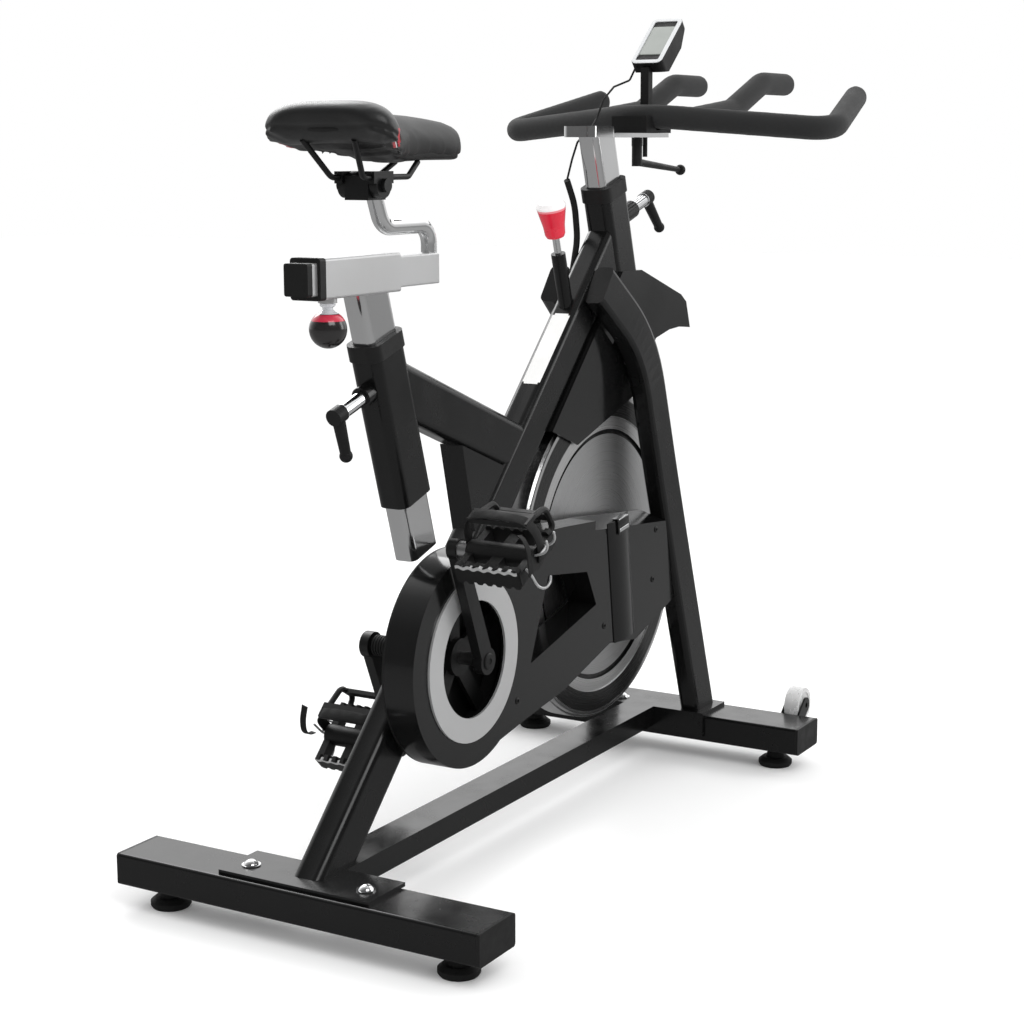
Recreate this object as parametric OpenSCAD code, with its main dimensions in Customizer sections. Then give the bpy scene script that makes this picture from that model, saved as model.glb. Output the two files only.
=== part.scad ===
// Indoor cycling bike: welded frame, weighted flywheel, belt drive, push brake,
// adjustable saddle and handlebar. X points to the handlebar, Y to the rider's
// left, Z up. The frame is laid out from the rear face of the rear stabilizer
// and then moved so that the origin is under the middle of the whole bike.

/* [Base] */
// Length of the base, rear face to front face
base_len = 982; // [900:1:1080]
// Length of a stabilizer bar across the bike, with its end caps
stab_len = 520; // [460:1:620]
// Width of a stabilizer bar, front to back
stab_w = 78; // [70:1:96]
// Height of a stabilizer bar
stab_h = 40; // [34:1:50]
// Wall thickness of the steel tubes
tube_wall = 2.5; // [2:0.1:3.5]
// Height of a levelling foot below its stabilizer
foot_h = 30; // [24:1:40]
// Diameter of a levelling foot
foot_dia = 50; // [40:1:60]
// Distance of the levelling feet from the middle plane
foot_y = 209; // [180:1:215]
// Width of the centre beam
beam_w = 50; // [42:1:60]
// Height of the centre beam
beam_h = 30; // [24:1:34]
// Thickness of the mounting plates on the stabilizers
plate_t = 5; // [4:0.5:8]
// Width of the mounting plates across the bike
plate_len = 216; // [206:1:240]
// Distance of the rear plate's bolts from the middle plane
plate_bolt_y = 83; // [70:1:92]

/* [Main frame] */
// Width of the main tube across the bike
main_w = 40; // [36:1:44]
// Depth of the main tube
main_d = 60; // [50:1:66]
// Corner radius of the main tube
main_r = 10; // [6:1:14]
// Distance of the main tube's foot from the rear face of the base
main_foot_x = 75; // [66:1:90]
// Height of the crank axle above the floor
crank_z = 292; // [280:1:300]
// Backward lean of both posts from upright, in degrees
post_lean = 17.2; // [14:0.1:19]
// Outer depth of a post sleeve
sleeve_d = 66; // [65:1:72]
// Outer width of a post sleeve
sleeve_w = 42; // [39:1:48]
// Length of the seat post sleeve
seat_sleeve_len = 208; // [180:1:220]
// Forward place of the seat sleeve's top centre
seat_sleeve_x = 196; // [190:1:202]
// Height of the seat sleeve's top centre
seat_sleeve_z = 694; // [680:1:710]
// Length of the handlebar post sleeve
head_sleeve_len = 150; // [130:1:160]
// Forward place of the head sleeve's top centre
head_sleeve_x = 774; // [768:1:782]
// Height of the head sleeve's top centre
head_sleeve_z = 865; // [855:1:875]
// Depth of the upper tube between the seat sleeve and the main tube
top_tube_d = 66; // [56:1:74]
// Depth of the front legs
leg_d = 60; // [50:1:66]
// Width of the front legs across the bike
leg_w = 30; // [24:1:34]
// Distance of a front leg's foot from the middle plane
leg_foot_y = 80; // [72:1:88]

/* [Flywheel] */
// Outer diameter of the flywheel
wheel_dia = 474; // [440:2:480]
// Width of the flywheel's rim
wheel_w = 40; // [30:1:42]
// Forward place of the flywheel axle
wheel_x = 742; // [735:1:748]
// Height of the flywheel axle
wheel_z = 340; // [334:1:346]
// Diameter of the fixed flywheel axle
wheel_axle_dia = 17; // [14:0.5:18]

/* [Crank and pedals] */
// Length of a crank arm, axle to pedal axle
crank_len = 165; // [150:1:175]
// Angle of the right crank arm from straight forward, in degrees
crank_angle = 112.5; // [90:0.1:150]
// Diameter of the crank axle
crank_axle_dia = 17; // [15:0.5:20]
// Outer face of the right crank arm, from the middle plane
crank_y_right = 97; // [96:1:108]
// Outer face of the left crank arm, from the middle plane
crank_y_left = 86; // [82:1:100]
// Thickness of a crank arm
crank_t = 13; // [10:0.5:14]
// Upward tilt of the right pedal's front edge, in degrees
pedal_tilt_right = 25; // [-40:1:50]
// Upward tilt of the left pedal's front edge, in degrees
pedal_tilt_left = 45; // [-40:1:50]
// Width of a pedal across the bike
pedal_w = 90; // [80:1:104]
// Length of a pedal tread
pedal_len = 88; // [78:1:100]
// Radius of the driving belt pulley
drive_r = 112; // [100:1:116]
// Radius of the driven belt pulley on the flywheel
driven_r = 43; // [38:1:46]
// Width of the belt
belt_w = 16; // [12:1:18]

/* [Drive guard] */
// Outer face of the drive guard, from the middle plane
guard_y = 75; // [74:1:79]
// Back face of the drive guard, from the middle plane
guard_back_y = 30; // [29:1:32]
// Wall thickness of the drive guard
guard_wall = 3; // [2:0.5:4]
// Radius of the guard's round housing over the crank
guard_r = 137; // [132:1:142]
// Outer radius of the silver trim ring
ring_r = 105; // [95:1:115]
// Radius of the opening inside the trim ring
ring_hole_r = 74; // [64:1:82]

/* [Seat] */
// Depth of the seat and handlebar post tubes
post_d = 58; // [54:1:60]
// Width of the seat and handlebar post tubes
post_w = 32; // [28:1:33]
// Length of the seat post
seat_post_len = 341; // [320:1:360]
// Length of the seat post that stands above its sleeve
seat_post_out = 59; // [54:1:90]
// Width of the seat slide housing
slide_w = 40; // [38:1:46]
// Height of the seat slide housing
slide_h = 46; // [44:1:52]
// Width of the seat slide bar
bar_w = 33; // [28:1:34]
// Height of the seat slide bar
bar_h = 37; // [32:1:38]
// Length of the seat slide housing
slide_len = 153; // [140:1:165]
// Length of the seat slide bar with its end cap
bar_len = 272; // [262:1:290]
// Diameter of the bent seat stem
stem_dia = 20; // [18:0.5:24]
// Length of the saddle
saddle_len = 295; // [270:1:320]
// Greatest width of the saddle
saddle_w = 186; // [160:2:210]
// Diameter of the clamping ball knob
ball_dia = 44; // [36:1:48]

/* [Handlebar] */
// Length of the handlebar post that stands above its sleeve
bar_post_out = 70; // [66:1:100]
// Length of the handlebar post
bar_post_len = 230; // [200:1:250]
// Diameter of the foam grip
grip_dia = 34; // [30:0.5:36]
// Diameter of the steel handlebar tube inside the foam
bar_tube_dia = 25.4; // [22:0.2:27]
// Distance of the outer corners from the middle plane
bar_half_w = 268; // [250:1:285]
// Distance of the inner horns from the middle plane
horn_y = 75; // [68:1:90]
// Reach of the inner horns ahead of the clamp
horn_reach = 360; // [320:1:380]

/* [Brake and console] */
// Diameter of the brake rod
brake_rod_dia = 10; // [8:0.5:12]
// Travel of the brake rod from rest to the flywheel
brake_travel = 10; // [6:0.5:12]
// Widest diameter of the brake knob
brake_knob_dia = 41; // [34:1:46]
// Width of the console
console_w = 50; // [46:1:60]
// Height of the console's face
console_h = 101; // [90:1:115]
// Thickness of the console
console_t = 27; // [20:1:30]

/* [Hidden] */
$fn = 48;

// Clearances
run_gap = 0.05;      // radial clearance of a running shaft
slide_gap = 0.3;     // gap between pieces that slide or pass each other
seat_gap = 0.3;      // gap between a moving piece and what it rests by

black_paint = "#18181a";
chrome_steel = "#c9ccd0";
black_plastic = "#202123";

// Derived places on the base
cap_t = 4;
stab_corner = 4;
rear_x = stab_w / 2;
front_x = base_len - stab_w / 2;
stab_top = foot_h + stab_h;
deck_z = stab_top + plate_t;
stab_tube_len = stab_len - 2 * cap_t;
bolt_r = 5;
bolt_head_r = 9;
front_bolt_y = 41;

// Main tube: rises forwards at 45 degrees from its foot on the deck
main_lean = 45;
crank_x = main_foot_x + crank_z - deck_z;
bearing_r = 17.5;
bearing_w = 12;
shell_r = 23;
shell_half = 36;

// Post sleeves and posts
up_x = -sin(post_lean);
up_z = cos(post_lean);
sleeve_r = 12;
post_r = 9;
post_wall = 2;
bush_t = 4;
bush_skirt = 16;
bush_rim = 2.5;
function on_seat_axis(s) = [seat_sleeve_x + up_x * s, 0, seat_sleeve_z + up_z * s];
function on_head_axis(s) = [head_sleeve_x + up_x * s, 0, head_sleeve_z + up_z * s];

// Front legs: foot, lower bend, shoulder bend and top, as [x, distance from middle, z]
leg_foot = [front_x - 4, leg_foot_y, deck_z];
leg_knee = [848, leg_foot_y - 21, 445];
leg_shoulder = [812, 44, 640];
leg_top = [697, main_w / 2 + leg_w / 2, 730];
leg_slope = (leg_foot.x - leg_knee.x) / (leg_knee.z - leg_foot.z);
leg_side = (leg_d / 2) * sqrt(1 + pow(leg_slope, 2));
function leg_x(z) = leg_foot.x - leg_slope * (z - leg_foot.z);
function leg_back(z) = leg_x(z) - leg_side;

// Flywheel and its axle
wheel_r = wheel_dia / 2;
bracket_y = 57;
bracket_t = 6;
hub_r = 38;
hub_half = 30;
axle_r = wheel_axle_dia / 2;

// Belt drive
belt_y = 46;
belt_t = 4;
belt_lift = 0.3;
guard_front_gap = 1;

// Cranks and pedals
crank_axle_r = crank_axle_dia / 2;
crank_tip_x = crank_len * cos(crank_angle);
crank_tip_z = crank_len * sin(crank_angle);
pedal_axle_r = 7;
pedal_gap = 16;
function crank_y(s) = s < 0 ? crank_y_right : crank_y_left;
function pedal_in_y(s) = crank_y(s) + pedal_gap;

// Seat slide
seat_post_top = on_seat_axis(seat_post_out);
slide_z = seat_post_top.z + slide_h / 2;
collar_t = 11;
slide_back_x = seat_post_top.x - 108;
slide_front_x = slide_back_x + slide_len;
end_cap_t = 9;
bar_front_x = slide_back_x + 243;
bar_back_x = bar_front_x - bar_len;
stem_r = stem_dia / 2;
stem_x = bar_front_x + 3;
stem_low = slide_z - bar_h / 2;
stem_level = slide_z + bar_h / 2 + 34;
saddle_x = stem_x - 231;
clamp_x = stem_x - 138;
clamp_z = stem_level + 50;
rail_y = 22;
rail_r = 3.5;
ball_x = slide_back_x + 31;

// Handlebar
bar_z = 964;
bar_x = 890;
plate_front_x = 938;
post_top = on_head_axis(bar_post_out);
plate_z = post_top.z;
rail_t = 6;
clamp_len = 80;
clamp_w = 56;
horn_tip_x = bar_x + horn_reach;

// Brake: its rod is parallel to the posts
brake_top = [620, 0, 848];
function on_brake_axis(s) = [brake_top.x - up_x * s, 0, brake_top.z - up_z * s];

// Middle of the whole bike, front to back
x_mid = horn_tip_x / 2;

// ---------- general helpers ----------

module place(shade) {
    color(shade) translate([-x_mid, 0, 0]) children();
}

module round_rect(size, r) {
    square([size.x - 2 * r, size.y], center = true);
    square([size.x, size.y - 2 * r], center = true);
    for (sx = [-1, 1], sy = [-1, 1])
        translate([sx * (size.x / 2 - r), sy * (size.y / 2 - r)]) circle(r = r);
}

module round_ring(size, r, wall) {
    difference() {
        round_rect(size, r);
        round_rect([size.x - 2 * wall, size.y - 2 * wall], max(r - wall, 0.5));
    }
}

// Leans a piece that is built along Z backwards from a point
module leaned(p, angle) {
    translate(p) rotate([0, angle, 0]) children();
}

// A cylinder along Y between two distances from the middle plane
module across(x, z, y1, y2, r) {
    translate([x, max(y1, y2), z]) rotate([90, 0, 0]) cylinder(r = r, h = abs(y2 - y1));
}

// Extrudes an XZ outline along Y between two distances
module slab(y1, y2) {
    translate([0, max(y1, y2), 0]) rotate([90, 0, 0]) linear_extrude(abs(y2 - y1)) children();
}

function unit(v) = v / norm(v);

// Points of a route whose corners are eased by a bend of the given reach
function eased(p, reach, steps) = concat(
    [p[0]],
    [for (i = [1:len(p) - 2], k = [0:steps])
        let (
            a = p[i] + unit(p[i - 1] - p[i]) * reach[i - 1],
            b = p[i] + unit(p[i + 1] - p[i]) * reach[i - 1],
            t = k / steps
        )
        a * pow(1 - t, 2) + p[i] * 2 * t * (1 - t) + b * pow(t, 2)],
    [p[len(p) - 1]]
);

function heading(p, i) = unit(p[min(i + 1, len(p) - 1)] - p[max(i - 1, 0)]);

// One ring of an outline around point c, cut by the plane with normal n; the
// outline's second direction stays as near to "ref" as the route allows
function ring_points(c, t, n, outline, ref) =
    let (
        side = unit(ref - t * (t * ref)),
        face = cross(side, t)
    )
    [for (q = outline)
        let (d = face * q.x + side * q.y)
        c + d - t * ((d * n) / (t * n))];

module sweep(path, outline, first_normal = undef, last_normal = undef, ref = [0, 1, 0]) {
    rings = len(path);
    m = len(outline);
    points = [for (i = [0:rings - 1])
        let (
            t = heading(path, i),
            n = i == 0 && first_normal != undef ? first_normal
                : i == rings - 1 && last_normal != undef ? last_normal : t
        )
        each ring_points(path[i], t, n, outline, ref)];
    sides = [for (i = [0:rings - 2], j = [0:m - 1])
        let (k = (j + 1) % m)
        each [[i * m + j, (i + 1) * m + k, i * m + k], [i * m + j, (i + 1) * m + j, (i + 1) * m + k]]];
    start_cap = [[for (j = [0:m - 1]) j]];
    end_cap = [[for (j = [m - 1:-1:0]) (rings - 1) * m + j]];
    polyhedron(points, concat(sides, start_cap, end_cap), convexity = 6);
}

// Outline points of a rounded rectangle, anticlockwise
function soft_rect(size, r, steps) = [
    for (q = [0:3], k = [0:steps])
        let (
            sx = (q == 0 || q == 3) ? 1 : -1,
            sy = q < 2 ? 1 : -1,
            a = q * 90 + k * 90 / steps
        )
        [sx * (size.x / 2 - r) + r * cos(a), sy * (size.y / 2 - r) + r * sin(a)]
];

function circle_points(r, n) = [for (k = [0:n - 1]) [r * cos(k * 360 / n), r * sin(k * 360 / n)]];

// Points of a route whose corners are true bends of the given radii
function bent_route(p, bend, steps) = concat(
    [p[0]],
    [for (i = [1:len(p) - 2])
        let (
            d = unit(p[i] - p[i - 1]),
            out = unit(p[i + 1] - p[i]),
            turn = acos(d * out),
            side = unit(out - d * (d * out)),
            r = bend[i - 1],
            start = p[i] - d * r * tan(turn / 2)
        )
        for (k = [0:steps])
            let (a = turn * k / steps)
            start + d * r * sin(a) + side * r * (1 - cos(a))],
    [p[len(p) - 1]]
);

// Round bar along a list of points with bends of radius bend[i] at its corners
module bent_rod(p, bend, r, sides = 16, ref = [0, 1, 0]) {
    sweep(bent_route(p, bend, 5), circle_points(r, sides), ref = ref);
}

module hex_head(r, h) {
    cylinder(r = r, h = h, $fn = 6);
}

// ---------- base ----------

module stabilizer_tube(x) {
    translate([x, stab_tube_len / 2, foot_h + stab_h / 2])
        rotate([90, 0, 0])
            linear_extrude(stab_tube_len) round_ring([stab_w, stab_h], stab_corner, tube_wall);
}

// Threaded boss inside a stabilizer that takes a foot's stud
foot_stud_r = 5;
foot_boss_r = 9;
foot_boss_h = 14;

module foot_bosses(x) {
    for (s = [-1, 1])
        translate([x, s * foot_y, foot_h + tube_wall / 2]) cylinder(r = foot_boss_r, h = foot_boss_h);
}

module foot_bores(x) {
    for (s = [-1, 1])
        translate([x, s * foot_y, foot_h - 1]) cylinder(r = foot_stud_r + run_gap, h = foot_boss_h + 6);
}

module rear_stabilizer() {
    place(black_paint) difference() {
        union() {
            stabilizer_tube(rear_x);
            foot_bosses(rear_x);
        }
        foot_bores(rear_x);
        for (s = [-1, 1])
            translate([rear_x, s * plate_bolt_y, stab_top - tube_wall - 1]) cylinder(r = bolt_r, h = tube_wall + 2);
    }
}

// Transport wheels on lugs at the front face of the front stabilizer
wheel_lug_y = 215;
roller_r = 26;
roller_w = 22;
roller_x = base_len + roller_r + 3;
roller_z = stab_top + 8;
roller_pin_r = 4;
lug_t = 3;
lug_gap = 0.8;
lug_root = base_len - tube_wall / 2;

module wheel_lugs() {
    lug_in = roller_w / 2 + lug_gap;
    for (s = [-1, 1], e = [-1, 1]) {
        y = s * wheel_lug_y + e * (lug_in + lug_t / 2);
        slab(y - lug_t / 2, y + lug_t / 2) difference() {
            union() {
                translate([roller_x, roller_z]) circle(r = 12);
                polygon([
                    [lug_root, foot_h + 8], [lug_root, stab_top - 2], [roller_x - 6, roller_z + 10.4],
                    [roller_x + 6, roller_z - 10.4]
                ]);
            }
            translate([roller_x, roller_z]) circle(r = roller_pin_r);
        }
    }
}

module front_stabilizer() {
    place(black_paint) {
        difference() {
            union() {
                stabilizer_tube(front_x);
                foot_bosses(front_x);
            }
            foot_bores(front_x);
            translate([front_x - 20, front_bolt_y, stab_top - tube_wall - 1])
                cylinder(r = bolt_r, h = tube_wall + 2);
        }
        wheel_lugs();
    }
}

module end_cap(x, s) {
    plug = 12;
    mirror([0, s < 0 ? 1 : 0, 0]) {
        translate([x, stab_len / 2, foot_h + stab_h / 2]) rotate([90, 0, 0])
            linear_extrude(cap_t) round_rect([stab_w, stab_h], stab_corner);
        translate([x, stab_len / 2 - cap_t, foot_h + stab_h / 2]) rotate([90, 0, 0])
            linear_extrude(plug)
                round_ring([stab_w - 2 * tube_wall - 0.6, stab_h - 2 * tube_wall - 0.6], 2, 2);
    }
}

module stabilizer_end_caps() {
    place(black_plastic) for (x = [rear_x, front_x], s = [-1, 1]) end_cap(x, s);
}

rear_plate_x = 8;
bracket_drop = 37;

module base_beam() {
    place(black_paint) difference() {
        union() {
            translate([stab_w, -beam_w / 2, deck_z - beam_h])
                cube([base_len - 2 * stab_w, beam_w, beam_h]);
            translate([rear_plate_x, -plate_len / 2, stab_top])
                cube([stab_w + plate_t - rear_plate_x, plate_len, plate_t]);
            translate([base_len - stab_w - plate_t, -plate_len / 2, deck_z - bracket_drop])
                cube([plate_t, plate_len, bracket_drop]);
            translate([base_len - stab_w - plate_t, -plate_len / 2, stab_top])
                cube([stab_w + plate_t - 4, plate_len, plate_t]);
        }
        translate([stab_w + tube_wall, -beam_w / 2 + tube_wall, deck_z - beam_h + tube_wall])
            cube([base_len - 2 * stab_w - 2 * tube_wall, beam_w - 2 * tube_wall, beam_h - 2 * tube_wall]);
        for (s = [-1, 1])
            translate([rear_x, s * plate_bolt_y, stab_top - 1]) cylinder(r = bolt_r, h = plate_t + 2);
        translate([front_x - 20, front_bolt_y, stab_top - 1]) cylinder(r = bolt_r, h = plate_t + 2);
    }
}

// Dome-headed bolt pointing down, its washer lying at z = 0
module dome_bolt(length) {
    head_h = 6;
    translate([0, 0, -length]) cylinder(r = bolt_r - 0.1, h = length);
    cylinder(r = bolt_head_r + 2.5, h = 1.5);
    translate([0, 0, 1.5]) rotate_extrude() difference() {
        translate([0, 0]) intersection() {
            translate([0, head_h - 10.5]) circle(r = 10.5);
            square([bolt_head_r, head_h]);
        }
        translate([-20, -20]) square([20, 60]);
    }
}

module axle_nut(y, s) {
    nut_h = 6.5;
    across(wheel_x, wheel_z, y, y + s * 1.5, 14);
    translate([wheel_x, y + s * 1.5, wheel_z]) rotate([s > 0 ? -90 : 90, 0, 0]) difference() {
        hex_head(12.5, nut_h);
        translate([0, 0, -1]) cylinder(r = axle_r, h = nut_h + 2);
    }
}

module dome_bolts() {
    place(chrome_steel) {
        for (s = [-1, 1])
            translate([rear_x, s * plate_bolt_y, deck_z]) dome_bolt(14);
        translate([front_x - 20, front_bolt_y, deck_z]) dome_bolt(14);
    }
}

// ---------- main frame ----------

module sleeve_block(p, length, grow) {
    leaned(p, -post_lean) translate([0, 0, -length])
        linear_extrude(length) round_rect([sleeve_d + 2 * grow, sleeve_w + 2 * grow], sleeve_r + grow);
}

brake_exit = 45;
brake_guide_r = 10;
brake_guide_in = 76;
brake_bore_end = 222;

module brake_bore(r) {
    leaned(on_brake_axis(brake_bore_end), -post_lean) cylinder(r = r, h = brake_bore_end - 60);
}

module main_tube() {
    long = 1100;
    upper_void_from = (crank_x - main_foot_x) * sqrt(2) + shell_r + 14;
    place(black_paint) difference() {
        union() {
            leaned([main_foot_x, 0, deck_z], main_lean) translate([0, 0, -80])
                linear_extrude(long) round_rect([main_d, main_w], main_r);
            across(crank_x, crank_z, -shell_half, shell_half, shell_r);
            leaned(on_brake_axis(155), -post_lean) cylinder(r = brake_guide_r, h = 155 - brake_guide_in);
        }
        leaned([main_foot_x, 0, deck_z], main_lean) translate([0, 0, 8])
            linear_extrude(crank_x * sqrt(2) - main_foot_x * sqrt(2) - shell_r - 14)
                round_rect([main_d - 2 * tube_wall, main_w - 2 * tube_wall], main_r - tube_wall);
        leaned([main_foot_x, 0, deck_z], main_lean) translate([0, 0, upper_void_from])
            linear_extrude((brake_top.x - main_foot_x) * sqrt(2) + 20 - upper_void_from)
                round_rect([main_d - 2 * tube_wall, main_w - 2 * tube_wall], main_r - tube_wall);
        translate([-200, -100, deck_z - 200]) cube([700, 200, 200]);
        leaned(on_head_axis(0), -post_lean) translate([-sleeve_d / 2, -60, -400]) cube([800, 120, 900]);
        across(crank_x, crank_z, -shell_half - 1, -shell_half + bearing_w, bearing_r);
        across(crank_x, crank_z, shell_half + 1, shell_half - bearing_w, bearing_r);
        across(crank_x, crank_z, -shell_half - 1, shell_half + 1, crank_axle_r + 3);
        brake_bore(brake_rod_dia / 2 + run_gap);
    }
}

module post_sleeve(p, length) {
    leaned(p, -post_lean) translate([0, 0, -length])
        linear_extrude(length) round_ring([sleeve_d, sleeve_w], sleeve_r, tube_wall);
}

module post_sleeves() {
    place(black_paint) {
        post_sleeve(on_seat_axis(0), seat_sleeve_len);
        lever_boss(on_seat_axis(-seat_lever_drop), -1, seat_boss_len);
        post_sleeve(on_head_axis(0), head_sleeve_len);
        lever_boss(on_head_axis(-head_lever_drop), 1, head_boss_len);
    }
}

// A plastic bush lines each sleeve and ends in a collar on top
module sleeve_bush(p) {
    inner = [post_d + 2 * slide_gap, post_w + 2 * slide_gap];
    liner = [sleeve_d - 2 * tube_wall, sleeve_w - 2 * tube_wall];
    leaned(p, -post_lean) difference() {
        union() {
            translate([0, 0, -60]) linear_extrude(60 + bush_t) round_rect(liner, sleeve_r - tube_wall);
            linear_extrude(bush_t)
                round_rect([sleeve_d + 2 * bush_rim, sleeve_w + 2 * bush_rim], sleeve_r + bush_rim);
            translate([0, 0, -bush_skirt]) linear_extrude(bush_skirt)
                round_ring([sleeve_d + 2 * bush_rim, sleeve_w + 2 * bush_rim], sleeve_r + bush_rim, bush_rim);
        }
        translate([0, 0, -61]) linear_extrude(64 + bush_t) round_rect(inner, post_r + slide_gap);
    }
}

module sleeve_bushes() {
    place(black_plastic) {
        sleeve_bush(on_seat_axis(0));
        sleeve_bush(on_head_axis(0));
    }
}

// Solid shape that the main tube fills, for trimming what is welded to it
module main_tube_trim() {
    leaned([main_foot_x, 0, deck_z], main_lean) translate([0, 0, -80])
        linear_extrude(1100) round_rect([main_d, main_w], main_r);
}

// Upper tube and the strut under it, from the seat sleeve to the main tube
top_tube_from = [222, 637];
top_tube_to = [520, 520.5];
top_tube_w = 38;
gusset_w = 34;
gusset_rear = [[360, 562], [397, 412]];

module box_between(a, b, d, w, r) {
    v = b - a;
    translate([a.x, 0, a.y]) rotate([0, atan2(v.x, v.y), 0])
        linear_extrude(norm(v)) round_ring([d, w], r, tube_wall);
}

module top_tube() {
    place(black_paint) {
        difference() {
            box_between(top_tube_from, top_tube_to, top_tube_d, top_tube_w, 12);
            sleeve_block(on_seat_axis(0), seat_sleeve_len + 40, 0);
            main_tube_trim();
        }
        difference() {
            slab(-gusset_w / 2, gusset_w / 2) polygon([
                gusset_rear[0], gusset_rear[1], [gusset_rear[1].x + 120, gusset_rear[1].y + 120],
                [gusset_rear[1].x + 120, gusset_rear[0].y]
            ]);
            main_tube_trim();
            translate([top_tube_from.x, 0, top_tube_from.y])
                rotate([0, atan2(top_tube_to.x - top_tube_from.x, top_tube_to.y - top_tube_from.y), 0])
                    translate([top_tube_d / 2 - 401, -60, -50]) cube([400, 120, 600]);
        }
    }
}

leg_path = eased(
    [leg_foot, leg_knee, leg_shoulder, leg_top],
    [40, 70], 8
);
leg_outline = soft_rect([leg_d, leg_w], 8, 3);

leg_cap = 4;

module front_leg(s) {
    path = [for (p = leg_path) [p.x, s * p.y, p.z]];
    last = len(path) - 1;
    hollow = concat(
        [path[0] + unit(path[1] - path[0]) * leg_cap],
        [for (i = [1:last - 1]) path[i]],
        [path[last] - unit(path[last] - path[last - 1]) * leg_cap]
    );
    difference() {
        sweep(path, leg_outline, [0, 0, 1]);
        sweep(hollow, soft_rect([leg_d - 2 * tube_wall, leg_w - 2 * tube_wall], 8 - tube_wall, 3), [0, 0, 1]);
    }
}

module front_legs() {
    place(black_paint) {
        front_leg(-1);
        front_leg(1);
    }
}

module bearing(x, z, y1, y2, inner_r) {
    difference() {
        across(x, z, y1, y2, bearing_r);
        across(x, z, min(y1, y2) - 1, max(y1, y2) + 1, inner_r);
    }
}

module bearings() {
    place(chrome_steel) {
        for (s = [-1, 1]) {
            bearing(crank_x, crank_z, s * shell_half, s * (shell_half - bearing_w), crank_axle_r + run_gap);
            bearing(wheel_x, wheel_z, s * (hub_half - 1), s * (hub_half - 1 - bearing_w), axle_r);
        }
    }
}

// ---------- flywheel ----------

module axle_bracket(s) {
    tail = 26;
    low = wheel_z - tail;
    high = wheel_z + tail;
    y = s * bracket_y;
    slab(y, y + s * bracket_t) difference() {
        union() {
            translate([wheel_x, wheel_z]) circle(r = tail);
            polygon([[wheel_x, low], [leg_back(low), low], [leg_back(high), high], [wheel_x, high]]);
        }
        translate([wheel_x, wheel_z]) circle(r = axle_r);
    }
}

module axle_brackets() {
    place(black_paint) for (s = [-1, 1]) axle_bracket(s);
}

module flywheel_axle() {
    spacer_r = 13;
    place(chrome_steel) {
        across(wheel_x, wheel_z, -bracket_y - bracket_t - 8, bracket_y + bracket_t + 8, axle_r);
        for (s = [-1, 1])
            difference() {
                across(wheel_x, wheel_z, s * (hub_half - 1), s * bracket_y, spacer_r);
                across(wheel_x, wheel_z, s * (hub_half - 2), s * (bracket_y + 1), axle_r);
            }
        axle_nut(-bracket_y - bracket_t, -1);
        axle_nut(bracket_y + bracket_t, 1);
    }
}

rim_ring_r = 199;
groove_r = 181;
groove_w = 6;
cover_t = 3.6;
rim_depth = 29;

module flywheel() {
    half = wheel_w / 2;
    place("#8d9094") translate([wheel_x, 0, wheel_z]) rotate([90, 0, 0])
        rotate_extrude($fn = 96) difference() {
            union() {
                translate([rim_ring_r, -half]) square([wheel_r - 4 - rim_ring_r, wheel_w]);
                translate([rim_ring_r, -half + 4]) square([wheel_r - rim_ring_r, wheel_w - 8]);
                polygon([
                    [groove_r, -half + 1], [rim_ring_r, -half + 1],
                    [rim_ring_r, half - 1], [groove_r, half - 1]
                ]);
                translate([hub_r - 2, -half + 3]) square([groove_r - hub_r + 3, wheel_w - 6]);
                translate([bearing_r + run_gap, -hub_half + 0.5]) square([hub_r - bearing_r, 2 * hub_half - 1]);
            }
            for (s = [-1, 1]) translate([groove_r - 6, s * half - 5]) square([groove_w, 10]);
            translate([hub_r + 8, -half + 3 + cover_t])
                square([wheel_r - rim_depth - hub_r - 8, wheel_w - 6 - 2 * cover_t]);
        }
}

// Driven pulley bolted to the flywheel's right side
module driven_pulley() {
    place("#55585c") difference() {
        union() {
            across(wheel_x, wheel_z, -belt_y - belt_w / 2 - 1, -belt_y + belt_w / 2 + 1, driven_r);
            across(wheel_x, wheel_z, -hub_half + 0.5, -belt_y + belt_w / 2 + 1, driven_r - 8);
        }
        across(wheel_x, wheel_z, -belt_y - belt_w, -hub_half + 2, 16);
    }
}

// ---------- crank ----------

// The crank axle, with the two pedal axles that stand out of the arms' tips
module crank_axles() {
    place(chrome_steel) {
        across(crank_x, crank_z, -crank_y_right - 1, crank_y_left + 1, crank_axle_r);
        for (s = [-1, 1]) pedal_axle(s);
    }
}

module drive_pulley() {
    spokes = 5;
    spoke_w = 22;
    hub = 24;
    place("#2a2b2d") difference() {
        union() {
            difference() {
                across(crank_x, crank_z, -belt_y - belt_w / 2 - 1, -belt_y + belt_w / 2 + 1, drive_r);
                across(crank_x, crank_z, -belt_y - belt_w, -belt_y + belt_w, drive_r - 14);
            }
            across(crank_x, crank_z, -belt_y - belt_w / 2 - 3, -belt_y + belt_w / 2, hub);
            translate([crank_x, -belt_y + 3, crank_z]) rotate([90, 0, 0]) linear_extrude(6)
                for (k = [0:spokes - 1])
                    rotate(k * 360 / spokes + 20) translate([0, -spoke_w / 2]) square([drive_r - 10, spoke_w]);
        }
        across(crank_x, crank_z, -belt_y - belt_w - 4, -belt_y + belt_w, crank_axle_r);
    }
}

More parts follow.
